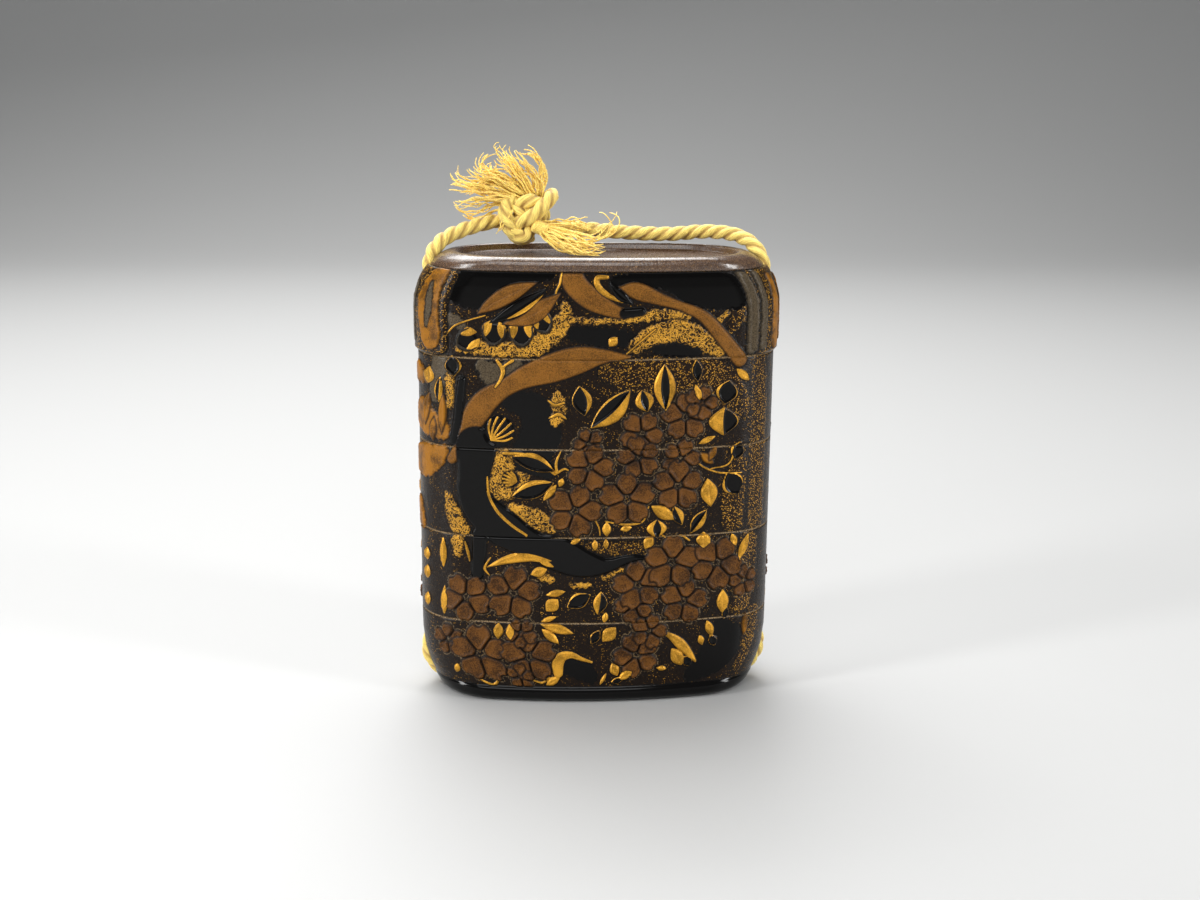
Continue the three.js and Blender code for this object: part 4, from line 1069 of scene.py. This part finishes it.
# Locks of the teased-out ends, each a guide curve, its number of threads and their spread.
STANDING_LOCKS = [
    ([[-10.7, 8, 83.4], [-13.9, 8, 88.5], [-16.1, 8.5, 91], [-15.2, 8, 92]], 9, 0.9),
    ([[-10.5, 7.5, 83.4], [-13, 7, 87.3], [-15.4, 7, 89.7], [-16.6, 7.5, 90.9]], 12, 1.1),
    ([[-10, 8, 83.4], [-9, 8.5, 86.5], [-9.5, 9, 89.6], [-11.4, 9, 90.8], [-12.9, 8.5, 91.2]], 5, 0.6),
    ([[-9, 8.5, 83.4], [-8.2, 9, 86.9], [-8.9, 9.5, 89.1], [-10.4, 9.5, 90.6], [-12.4, 9, 91.1]], 4, 0.5),
    ([[-9.7, 8, 83.4], [-10.2, 7.5, 86.6], [-12.5, 7, 89], [-13.5, 7, 90.5]], 11, 1.2),
    ([[-12.5, 7.5, 84], [-15.4, 7, 87.3], [-18.4, 7, 87.8], [-19.6, 7.5, 88.9], [-18.4, 8, 90.6],
      [-16.9, 8, 91.1]], 6, 0.8),
    ([[-12.5, 7, 83.8], [-16.4, 6.5, 85.9], [-19.4, 6, 86.9], [-21.3, 6, 88.5]], 13, 1.3),
    ([[-13, 7, 83.6], [-17.4, 6.5, 84.9], [-21.3, 6, 85.9], [-23.6, 6, 86.8], [-23.9, 6, 89.3]], 9, 0.9),
    ([[-13, 7.5, 83.4], [-17.4, 8, 84], [-21.4, 8.5, 85], [-24.5, 9, 85.3]], 10, 1.0),
    ([[-13.2, 7, 83], [-17.4, 6, 83.2], [-20.6, 5.5, 82.8], [-22.8, 5.5, 82.5], [-24.2, 5.5, 82.7]],
     10, 0.9),
    ([[-13.6, 7, 82.6], [-17.4, 6.5, 82], [-20.1, 6.5, 80.7], [-22.4, 6.5, 81], [-24.1, 6.5, 82.7]],
     4, 0.5),
    ([[-14, 7, 82], [-17.4, 7, 80.9], [-19.7, 7, 79.9], [-21.9, 7, 80.3], [-23.1, 7, 81.6]], 3, 0.4),
    ([[-14, 5, 81.4], [-15.5, 4.4, 79.2], [-17.3, 4.6, 76.9]], 2, 0.2),
    ([[-13, 7.5, 84], [-15.4, 7, 85.3], [-18.4, 7, 86.1], [-20.6, 6.5, 84.4], [-22.8, 6.5, 83.9]], 10, 1.0),
    ([[-11.5, 7.5, 83.6], [-14, 7, 86], [-16, 7, 86.6], [-17.6, 7.4, 88.4], [-16.4, 8, 89.6]], 10, 1.2),
]
LYING_LOCKS = [
    ([[-9.4, 4.7, 78.4], [-5.5, 2.5, 76.4], [-1.9, 0, 75], [1.8, -1.5, 75]], 12, 0.8),
    ([[-9.4, 4.7, 78.6], [-5.2, 3, 77.4], [-1.4, 1, 75.9], [1.4, 0, 75.7]], 14, 1.0),
    ([[-9.4, 5, 78.8], [-4.2, 3.5, 78.1], [-0.6, 2.5, 77.2], [2.9, 2.5, 78], [3.1, 3, 79.9], [1.5, 4, 81.4],
      [-0.7, 5, 80.5]], 3, 0.4),
    ([[-9.4, 4.7, 78.6], [-4.7, 3, 77], [-1.1, 2, 76.6], [1.6, 2.5, 78.2], [2.9, 3.5, 81]], 5, 0.5),
    ([[-9.2, 5, 79], [-5.4, 5, 79], [-2.2, 4.5, 78.9], [0.2, 3.5, 77.7]], 10, 0.8),
    ([[-9.4, 4.7, 78.2], [-7.2, 2.7, 76.2], [-4.3, 1, 75.3], [-1.2, -0.5, 75]], 12, 0.9),
]


def one_thread(guide, spread, settings, rng, floor):
    """Points and faces of a thread that strays from its lock's guide curve and curls as it goes."""
    knots = np.array(guide, float)
    drift = np.array([rng.gauss(0, 1) for _ in range(3)]) * 0.5 * spread
    share = np.linspace(0, 1, len(knots))[:, None]
    jitter = np.array([[rng.gauss(0, 1) for _ in range(3)] for _ in knots]) * 0.22 * spread
    knots = knots + share ** 0.8 * drift * 1.3 + share ** 0.5 * jitter + (1 - share) * drift * 0.6
    reach = rng.uniform(0.72, 1.0)
    path, _ = even_path(knots, THREAD_STEP)
    path = path[: max(5, int(len(path) * reach))]
    run = np.linspace(0, 1, len(path))
    wave = rng.uniform(0.08, 0.34)
    phase = rng.uniform(0, 6.28)
    turns = rng.uniform(1.5, 3.5)
    _, normal, other = frames_along(path)
    angle = phase + 2 * math.pi * turns * run
    curl = normal * np.cos(angle)[:, None] + other * np.sin(angle)[:, None]
    path = path + wave * np.sqrt(run)[:, None] * curl
    if floor is not None:
        path[:, 2] = np.maximum(path[:, 2], floor)
    radii = settings.thread_radius * rng.uniform(0.75, 1.15) * (1 - 0.45 * run ** 3)
    return sweep(path, radii, THREAD_SIDES)


def lock_threads(locks, settings, rng, floor=None):
    """Points and faces of every thread of some locks, none of them below the floor."""
    return joined([one_thread(guide, spread, settings, rng, floor)
                   for guide, count, spread in locks for _ in range(round(count * FULLNESS))])


def bound_stub(silk):
    """The short bound end that the lying threads come out of."""
    path, length = even_path([[-10.8, 4.7, 79.1], [-9.4, 4.7, 78.5], [-8, 4.4, 77.9]], STUB_STEP)
    run = np.linspace(0, 1, len(path))
    radii = STUB_RADIUS * np.sqrt(np.clip(1 - (2 * run - 1) ** 8, 0.05, 1))
    points, faces = sweep(path, radii, STUB_SIDES)
    sides = np.arange(STUB_SIDES)
    # The stub's crown stripes carry the silk's painted shade and highlight too.
    fields = {
        "crown": np.tile(np.abs(np.sin(5 * sides)), len(path)),
        "strand": np.tile(sides / 3, len(path)),
        "run": np.repeat(run * length, STUB_SIDES),
    }
    return mesh_from("bound_stub", points, faces, [silk], None, fields)


def build_threads(settings, silk):
    """The cord's two ends, teased out into threads, with the short bound stub of the lying one."""
    rng = random.Random(THREAD_SEED)
    standing = mesh_from("standing_threads", *lock_threads(STANDING_LOCKS, settings, rng), [silk])
    panel = TOP - PANEL_DROP + 2 * settings.thread_radius
    lying = mesh_from("lying_threads", *lock_threads(LYING_LOCKS, settings, rng, panel), [silk])
    pieces = [standing, lying, bound_stub(silk)]
    for piece in pieces:
        ride_as(piece, "silk_cord")
    return pieces


# ------------------------------------------------------------------ node groups

def new_group(name, inputs, outputs):
    """An empty shader node group with named sockets."""
    group = bpy.data.node_groups.new(name, "ShaderNodeTree")
    for label, kind, default in inputs:
        socket = group.interface.new_socket(name=label, in_out="INPUT", socket_type=kind)
        if default is not None:
            socket.default_value = default
    for label, kind in outputs:
        group.interface.new_socket(name=label, in_out="OUTPUT", socket_type=kind)
    return group, group.nodes.new("NodeGroupInput"), group.nodes.new("NodeGroupOutput")


class Tree:
    """Short calls for making and linking shader nodes."""

    def __init__(self, tree):
        self.tree = tree

    def node(self, kind, values=None, **settings):
        """A node with its settings, and its sockets set or linked."""
        made = self.tree.nodes.new(kind)
        for key, value in settings.items():
            setattr(made, key, value)
        for socket, value in (values or {}).items():
            self.put(made.inputs[socket], value)
        return made

    def put(self, socket, value):
        """Link a socket to another one, or set its value."""
        if isinstance(value, bpy.types.NodeSocket):
            self.tree.links.new(value, socket)
        else:
            socket.default_value = value

    def math(self, operation, a, b=0.0):
        """One operation on two values."""
        return self.node("ShaderNodeMath", {0: a, 1: b}, operation=operation).outputs[0]

    def step(self, value, low, high, out_low=0.0, out_high=1.0):
        """A smooth step from one value to another between two limits."""
        made = self.node("ShaderNodeMapRange", interpolation_type="SMOOTHSTEP")
        for index, item in enumerate((value, low, high, out_low, out_high)):
            self.put(made.inputs[index], item)
        return made.outputs[0]

    def mix(self, factor, a, b, way="MIX"):
        """From colour a to colour b."""
        made = self.node("ShaderNodeMix", {0: factor, 6: a, 7: b}, data_type="RGBA", blend_type=way)
        return made.outputs[2]

    def blend(self, factor, a, b):
        """From value a to value b."""
        return self.node("ShaderNodeMix", {0: factor, 2: a, 3: b}, data_type="FLOAT").outputs[0]

    def field(self, name):
        """A field that the mesh carries on its points."""
        return self.node("ShaderNodeAttribute", attribute_name=name).outputs["Fac"]

    def scaled(self, vector, factor):
        """A vector times a number."""
        return self.node("ShaderNodeVectorMath", {0: vector, 3: factor}, operation="SCALE").outputs[0]

    def place(self):
        """The place on the piece, in millimetres."""
        return self.scaled(self.node("ShaderNodeTexCoord").outputs["Object"], 1 / MM)

    def shared(self, group, **values):
        """A node that uses one of the shared groups."""
        return self.node("ShaderNodeGroup", values, node_tree=group)

    def bump(self, strength, distance, height):
        """The normal of a surface with small heights on it."""
        values = {"Strength": strength, "Distance": distance, "Height": height}
        return self.node("ShaderNodeBump", values).outputs[0]


def dust_group():
    """Scattered grains of gold: a mask, and how bright each grain is."""
    group, given, result = new_group(
        "Gold dust",
        [("Vector", "NodeSocketVector", None), ("Size", "NodeSocketFloat", 0.3),
         ("Amount", "NodeSocketFloat", 0.3)],
        [("Mask", "NodeSocketFloat"), ("Tone", "NodeSocketFloat")])
    t = Tree(group)
    size = given.outputs["Size"]
    cells = t.node("ShaderNodeTexVoronoi",
                   {"Vector": given.outputs["Vector"], "Scale": 1.0, "Randomness": 1.0})
    parts = t.node("ShaderNodeSeparateColor", {"Color": cells.outputs["Color"]})
    near = t.step(cells.outputs["Distance"], size, t.math("MULTIPLY", size, 0.55))
    chosen = t.math("LESS_THAN", parts.outputs[0], given.outputs["Amount"])
    t.put(result.inputs["Mask"], t.math("MULTIPLY", near, chosen))
    t.put(result.inputs["Tone"], parts.outputs[1])
    return group


def scroll_group():
    """Fine curling lines, as in drawn moss."""
    group, given, result = new_group(
        "Moss scrolls", [("Vector", "NodeSocketVector", None), ("Width", "NodeSocketFloat", 0.07)],
        [("Mask", "NodeSocketFloat")])
    t = Tree(group)
    width = given.outputs["Width"]
    noise = t.node("ShaderNodeTexNoise",
                   {"Vector": given.outputs["Vector"], "Scale": 1.0, "Detail": 1.0, "Distortion": 0.6})
    off = t.math("ABSOLUTE", t.math("SUBTRACT", noise.outputs[0], 0.5))
    t.put(result.inputs["Mask"], t.step(off, width, t.math("MULTIPLY", width, 0.4)))
    return group


def wear_group():
    """Uneven age over a surface: broad tone and fine speckle, both about 0.5."""
    group, given, result = new_group(
        "Aged tone", [("Vector", "NodeSocketVector", None)],
        [("Broad", "NodeSocketFloat"), ("Fine", "NodeSocketFloat")])
    t = Tree(group)
    broad = t.node("ShaderNodeTexNoise", {"Vector": given.outputs["Vector"], "Scale": 0.45, "Detail": 3.0})
    fine = t.node("ShaderNodeTexNoise", {"Vector": given.outputs["Vector"], "Scale": 5.0, "Detail": 2.0})
    t.put(result.inputs["Broad"], broad.outputs[0])
    t.put(result.inputs["Fine"], fine.outputs[0])
    return group


# ------------------------------------------------------------------ materials

SOFT_EDGE = 0.035

# Mottled finishes: their shares of the broad and the fine tone, where the sum turns from dark to
# light, and how strong the colour is at each.
MOTTLES = {
    "slate_and_highlight": (0, 1, 0.35, 0.7, 0.5, 1),
    "amber": (1, 0.5, 0.55, 0.85, 0.3, 1),
    "branch": (0.5, 1, 0.5, 0.95, 0.5, 1.25),
    "blossom": (0.9, 1, 0.7, 1.15, 0.3, 1.45),
    "gold": (1, 0.7, 0.55, 1.1, 0.42, 1.2),
}
ROUGHNESS = {
    "branch": 0.42, "blossom": 0.46, "gold": 0.36, "amber": 0.4, "slate_and_highlight": 0.3, "moss": 0.36, "black": 0.1,
}


def new_material(name):
    """A material, the calls for its nodes, and its shader."""
    material = bpy.data.materials.new(name)
    material.use_nodes = True
    return material, Tree(material.node_tree), material.node_tree.nodes["Principled BSDF"]


def tint(colour, strength=1.0):
    """A colour made stronger or weaker, by one factor or one for each channel, and opaque."""
    return (*np.minimum(1, np.array(list(colour)) * strength).tolist(), 1.0)


def lacquer_colour(t, colours, masks, tone, sparse_gold, dense, scrolls):
    """The ground and its dust, then each finish over the ones before it where its mask shows."""
    broad, fine = tone.outputs["Broad"], tone.outputs["Fine"]
    gold = tint(colours.gold)

    def mottled(name):
        broad_share, fine_share, low, high, dark, light = MOTTLES[name]
        sum_of_tones = t.math("ADD", t.math("MULTIPLY", broad, broad_share),
                              t.math("MULTIPLY", fine, fine_share))
        own = getattr(colours, name)
        return t.mix(t.step(sum_of_tones, low, high), tint(own, dark), tint(own, light))

    colour = t.mix(sparse_gold, tint(colours.ground), gold)
    grains = t.math("MULTIPLY", dense.outputs["Mask"], t.step(dense.outputs["Tone"], 0, 1, 0.4, 1))
    colour = t.mix(masks["dust"], colour, t.mix(grains, tint(colours.ground, 1.5), gold))
    clumps = t.step(t.math("ADD", fine, t.math("MULTIPLY", broad, 0.6)), 0.82, 0.88)
    mossy = t.math("MAXIMUM", clumps, t.math("MULTIPLY", scrolls.outputs["Mask"], 0.7))
    colour = t.mix(masks["moss"], colour, t.mix(mossy, tint(colours.ground, 1.6), gold))
    for name in ("slate_and_highlight", "amber", "branch", "blossom"):
        colour = t.mix(masks[name], colour, mottled(name))
    # Painted highlight: a broken pale line from 0.02 to 0.34 mm outside each petal.
    petal = t.field("blossom")
    around = t.math("MULTIPLY", t.step(petal, -0.34, -0.2), t.step(petal, -0.02, -0.1))
    pale = t.math("MULTIPLY", around, t.step(fine, 0.42, 0.6, 0.0, 0.7))
    colour = t.mix(pale, colour, tint(colours.petal_rim_highlight))
    colour = t.mix(masks["gold"], colour, mottled("gold"))
    return t.mix(masks["black"], colour, tint(colours.black))


def lacquer_material(colours, groups):
    """Raised lacquer: each finish shows where its field on the mesh is positive."""
    material, t, shader = new_material("Raised lacquer")
    place = t.place()
    tone = t.shared(groups["tone"], Vector=place)
    sparse = t.shared(groups["dust"], Vector=t.scaled(place, 4.6), Size=0.42, Amount=0.26)
    dense = t.shared(groups["dust"], Vector=t.scaled(place, 4.2), Size=0.5, Amount=0.62)
    scrolls = t.shared(groups["scrolls"], Vector=t.scaled(place, 1.5), Width=0.075)
    broad, fine = tone.outputs["Broad"], tone.outputs["Fine"]
    masks = {name: t.step(t.field(name), -SOFT_EDGE, SOFT_EDGE) for name in FINISHES}
    clustered = t.math("MULTIPLY", t.step(broad, 0.44, 0.6, 0.12, 1.0),
                       t.step(sparse.outputs["Tone"], 0, 1, 0.2, 1.0))
    sparse_gold = t.math("MULTIPLY", sparse.outputs["Mask"], clustered)
    colour = lacquer_colour(t, colours, masks, tone, sparse_gold, dense, scrolls)

    # Painted shade: each figure's colour darkens to 0.12 at its edge, inside and out, and recovers over 0.3
    # mm. It stands for shade on the relief's steep sides and also draws the dark outlines; gold and black
    # keep their colour.
    edge_shade = t.step(t.field("edge"), 0.02, 0.3, 0.12, 1.0)
    lit = t.blend(t.math("MAXIMUM", masks["gold"], masks["black"]), edge_shade, 1.0)
    grey = t.node("ShaderNodeCombineColor", {"Red": lit, "Green": lit, "Blue": lit})
    darkened = t.mix(1.0, colour, grey.outputs[0], "MULTIPLY")
    # Painted highlight with rubbed wear: a broken pale line within 0.2 mm of each tier's top and bottom
    # edge.
    rubbed_and_highlit = t.math("MULTIPLY", t.step(t.field("seam"), 0.2, 0.05), t.step(fine, 0.4, 0.56, 0.1, 0.9))
    t.put(shader.inputs["Base Color"], t.mix(rubbed_and_highlit, darkened, tint(colours.seam_highlight_and_wear)))

    rough = t.blend(sparse_gold, 0.3, 0.38)
    for name, value in ROUGHNESS.items():
        rough = t.blend(masks[name], rough, value)
    t.put(shader.inputs["Roughness"], t.math("ADD", rough, t.step(fine, 0.2, 0.8, -0.05, 0.05)))
    t.put(shader.inputs["Metallic"], t.math("MULTIPLY", masks["gold"], 0.45))

    not_black = t.math("SUBTRACT", 1.0, masks["black"])
    grains = t.math("MULTIPLY", t.math("MULTIPLY", dense.outputs["Mask"], not_black), 0.5)
    curls = t.math("MULTIPLY", scrolls.outputs["Mask"], masks["moss"])
    height = t.math("ADD", grains, t.math("ADD", t.math("MULTIPLY", not_black, fine), curls))
    t.put(shader.inputs["Normal"], t.bump(0.5, 0.00006, height))
    shader.inputs["Specular IOR Level"].default_value = 0.18
    return material


def inner_material(colours, groups):
    """Plain dark lacquer with a little gold dust, inside the tiers and on their joints."""
    material, t, shader = new_material("Inner lacquer")
    place = t.place()
    dust = t.shared(groups["dust"], Vector=t.scaled(place, 2.6), Size=0.32, Amount=0.35)
    tone = t.shared(groups["tone"], Vector=place)
    base = t.mix(tone.outputs["Broad"], tint(colours.ground, 2), tint(colours.ground, 6))
    t.put(shader.inputs["Base Color"], t.mix(dust.outputs["Mask"], base, tint(colours.gold)))
    t.put(shader.inputs["Roughness"], t.step(tone.outputs["Fine"], 0.2, 0.8, 0.25, 0.4))
    t.put(shader.inputs["Normal"], t.bump(0.3, 0.00004, dust.outputs["Mask"]))
    return material


def rim_material(colours, groups):
    """Glossy brown lacquer thick with fine gold dust, on the rim and the top."""
    material, t, shader = new_material("Rim lacquer")
    place = t.place()
    dust = t.shared(groups["dust"], Vector=t.scaled(place, 6.0), Size=0.5, Amount=0.55)
    tone = t.shared(groups["tone"], Vector=place)
    base = t.mix(tone.outputs["Broad"], tint(colours.rim_dark), tint(colours.rim_light))
    speck = t.math("MULTIPLY", dust.outputs["Mask"], t.step(dust.outputs["Tone"], 0, 1, 0.15, 0.7))
    t.put(shader.inputs["Base Color"], t.mix(speck, base, tint(colours.rim_dust)))
    t.put(shader.inputs["Roughness"], t.step(tone.outputs["Fine"], 0.2, 0.8, 0.2, 0.34))
    t.put(shader.inputs["Normal"], t.bump(0.25, 0.00004, tone.outputs["Fine"]))
    shader.inputs["Specular IOR Level"].default_value = 0.9
    return material


def silk_material(colours, groups):
    """Twisted silk: painted highlight on each strand's crown and painted shade between strands, fine fibres
    along each strand.
    """
    material, t, shader = new_material("Straw silk")
    along = t.node("ShaderNodeCombineXYZ", {"X": t.math("MULTIPLY", t.field("strand"), 14.0),
                                            "Y": t.math("MULTIPLY", t.field("run"), 0.9)})
    fibres = t.node("ShaderNodeTexNoise", {"Vector": along.outputs[0], "Scale": 1.0, "Detail": 3.0})
    fibre = fibres.outputs[0]
    tone = t.shared(groups["tone"], Vector=t.place())
    # Painted shade and highlight: the strands go dark in the grooves between them and bright on their
    # crowns, broken up by the fibres.
    dark = tint(colours.silk, (0.4, 0.28, 0.18))
    shade = t.math("MULTIPLY", t.step(t.field("crown"), 0.05, 0.85), t.step(fibre, 0.36, 0.6, 0.35, 1.0))
    colour = t.mix(shade, dark, tint(colours.silk, 1.25))
    colour = t.mix(t.step(tone.outputs["Broad"], 0.35, 0.7, 0.25, 0.0), colour, tint(colours.silk))
    t.put(shader.inputs["Base Color"], colour)
    t.put(shader.inputs["Roughness"], t.step(fibre, 0.3, 0.7, 0.75, 0.55))
    t.put(shader.inputs["Normal"], t.bump(0.8, 0.0002, fibre))
    shader.inputs["Sheen Weight"].default_value = 0.3
    return material


def thread_material(colours, groups):
    """Loose threads of the same silk, mottled between a deeper and a paler straw."""
    material, t, shader = new_material("Silk threads")
    tone = t.shared(groups["tone"], Vector=t.place())
    deep = tint(colours.silk, (0.85, 0.68, 0.5))
    mottle = t.step(tone.outputs["Fine"], 0.3, 0.7)
    t.put(shader.inputs["Base Color"], t.mix(mottle, deep, tint(colours.silk, 1.3)))
    t.put(shader.inputs["Roughness"], t.step(tone.outputs["Broad"], 0.3, 0.7, 0.5, 0.7))
    shader.inputs["Sheen Weight"].default_value = 0.3
    return material


def floor_material(colour):
    """A matt, even finish for the floor."""
    material, _, shader = new_material("Pale floor")
    shader.inputs["Base Color"].default_value = tint(colour)
    shader.inputs["Roughness"].default_value = 0.55
    return material


# ------------------------------------------------------------------ stage

CAMERA_PLACE = (-17.71, -265.45, 105.47)
CAMERA_HEADING = -3.97
CAMERA_PITCH = -13.58
CAMERA_ROLL = 0.55
SENSOR_WIDTH = 36

# The floor sweeps up behind the case; its sizes and the lights' places are in metres.
FLOOR_FRONT = 1.6
FLOOR_BACK = 1.1
FLOOR_SIDE = 2.2
FLOOR_RISE = 1.2
FLOOR_BEND = 0.5
BEND_STEPS = 16

AIM = (0, 0, 0.04)
LIGHTS = [
    # name, place, width and height, the setting of its power, share of that power
    ("overhead_softbox", (-0.08, 0.2, 0.55), (0.6, 0.4), "key_power", 1),
    ("rear_softbox", (-0.12, 0.5, 0.55), (0.5, 0.3), "key_power", 0.7),
    ("front_softbox", (-0.1, -0.55, 0.5), (0.6, 0.35), "fill_power", 1),
    ("left_strip", (-0.45, -0.2, 0.2), (0.07, 0.4), "fill_power", 0.9),
    ("right_strip", (0.5, -0.26, 0.2), (0.07, 0.4), "fill_power", 0.9),
]
ROOM_COLOUR = (0.8, 0.82, 0.84, 1)
ROOM_STRENGTH = 0.28


def set_camera(settings):
    """The view of the case, from in front and a little above."""
    data = bpy.data.cameras.new("view")
    data.lens = settings.lens
    data.sensor_width = SENSOR_WIDTH
    camera = bpy.data.objects.new("view", data)
    bpy.context.scene.collection.objects.link(camera)
    turn = (Matrix.Rotation(math.radians(CAMERA_HEADING), 4, "Z")
            @ Matrix.Rotation(math.radians(90 + CAMERA_PITCH), 4, "X")
            @ Matrix.Rotation(math.radians(CAMERA_ROLL), 4, "Z"))
    camera.matrix_world = Matrix.Translation(Vector(CAMERA_PLACE) * MM) @ turn
    data.clip_start = 0.01
    bpy.context.scene.camera = camera


def area_light(name, place, size, power):
    """A soft rectangular light at a place, turned to the case."""
    data = bpy.data.lights.new(name, "AREA")
    data.shape = "RECTANGLE"
    data.size, data.size_y = size
    data.energy = power
    light = bpy.data.objects.new(name, data)
    bpy.context.scene.collection.objects.link(light)
    light.location = place
    light.rotation_euler = (Vector(AIM) - Vector(place)).to_track_quat("-Z", "Y").to_euler()


def build_floor(colour):
    """A floor that bends up into a wall behind the case."""
    profile = [(-FLOOR_FRONT, 0.0), (FLOOR_BACK - FLOOR_BEND, 0.0)]
    profile += [(FLOOR_BACK - FLOOR_BEND + FLOOR_BEND * math.sin(a), FLOOR_BEND - FLOOR_BEND * math.cos(a))
                for a in np.linspace(0, math.pi / 2, BEND_STEPS + 1)[1:]]
    profile.append((FLOOR_BACK, FLOOR_RISE))
    points = [(x, y, z) for y, z in profile for x in (-FLOOR_SIDE, FLOOR_SIDE)]
    faces = [(2 * i, 2 * i + 1, 2 * i + 3, 2 * i + 2) for i in range(len(profile) - 1)]
    mesh = bpy.data.meshes.new("studio_floor")
    mesh.from_pydata(points, [], faces)
    mesh.shade_smooth()
    mesh.materials.append(floor_material(colour))
    floor = bpy.data.objects.new("studio_floor", mesh)
    bpy.context.scene.collection.objects.link(floor)


def build_stage(settings):
    """The floor, the soft lights and the pale room round them."""
    build_floor(settings.floor)
    for name, place, size, power, share in LIGHTS:
        area_light(name, place, size, getattr(settings, power) * share)
    world = bpy.data.worlds.new("studio")
    world.use_nodes = True
    background = world.node_tree.nodes["Background"]
    background.inputs["Color"].default_value = ROOM_COLOUR
    background.inputs["Strength"].default_value = ROOM_STRENGTH
    scene = bpy.context.scene
    scene.world = world
    scene.view_settings.view_transform = "Standard"


# ------------------------------------------------------------------ operators

def shader_groups():
    """The shared node groups, made once."""
    makers = {"dust": ("Gold dust", dust_group), "scrolls": ("Moss scrolls", scroll_group),
              "tone": ("Aged tone", wear_group)}
    return {key: bpy.data.node_groups.get(name) or maker() for key, (name, maker) in makers.items()}


def finish_of(name, maker, scene):
    """A material made once by its maker."""
    return bpy.data.materials.get(name) or maker(scene.case_finish, shader_groups())


class CASE_OT_stage(bpy.types.Operator):
    """Set the camera, the pale floor and the soft lights"""

    bl_idname = "tiered_case.stage"
    bl_label = "Set Stage"

    def execute(self, context):
        set_camera(context.scene.case_stage)
        build_stage(context.scene.case_stage)
        return {"FINISHED"}


class CASE_OT_cord(bpy.types.Operator):
    """Lay the silk cord, tie its knot and tease out its ends"""

    bl_idname = "tiered_case.cord"
    bl_label = "Lay Cord and Knot"

    def execute(self, context):
        scene = context.scene
        silk = finish_of("Straw silk", silk_material, scene)
        threads = finish_of("Silk threads", thread_material, scene)
        cord, path, length = build_cord(scene.case_cord, silk)
        knot = build_knot(scene.case_cord, silk)
        loose = build_threads(scene.case_cord, threads)
        return {"FINISHED"}


class CASE_OT_tiers(bpy.types.Operator):
    """Build the lid and the four cases with their raised lacquer"""

    bl_idname = "tiered_case.tiers"
    bl_label = "Build Tiers"

    def execute(self, context):
        scene = context.scene
        finishes = [finish_of("Raised lacquer", lacquer_material, scene),
                    finish_of("Inner lacquer", inner_material, scene)]
        build_tiers(scene.case_relief, finishes, finish_of("Rim lacquer", rim_material, scene))
        return {"FINISHED"}


class CASE_PT_panel(bpy.types.Panel):
    """Lists the steps that build the case"""

    bl_idname = "CASE_PT_panel"
    bl_label = "Tiered Case"
    bl_space_type = "VIEW_3D"
    bl_region_type = "UI"
    bl_category = "Tiered Case"

    def draw(self, context):
        for operator in OPERATORS:
            self.layout.operator(operator.bl_idname)
        for key in SETTINGS:
            group = getattr(context.scene, key)
            box = self.layout.box()
            for name in group.__annotations__:
                box.prop(group, name)


OPERATORS = (CASE_OT_stage, CASE_OT_cord, CASE_OT_tiers)
SETTINGS = {
    "case_relief": CaseSettings,
    "case_finish": FinishSettings,
    "case_cord": CordSettings,
    "case_stage": StageSettings,
}


def register():
    """Add the settings, the operators and the panel."""
    for item in (*SETTINGS.values(), *OPERATORS, CASE_PT_panel):
        bpy.utils.register_class(item)
    for key, group in SETTINGS.items():
        setattr(bpy.types.Scene, key, bpy.props.PointerProperty(type=group))


def unregister():
    """Take them away again."""
    for key in SETTINGS:
        delattr(bpy.types.Scene, key)
    for item in reversed((*SETTINGS.values(), *OPERATORS, CASE_PT_panel)):
        bpy.utils.unregister_class(item)


def main():
    """Build everything by its operators."""
    register()
    bpy.ops.tiered_case.stage()
    bpy.ops.tiered_case.cord()
    bpy.ops.tiered_case.tiers()


if __name__ == "__main__":
    main()
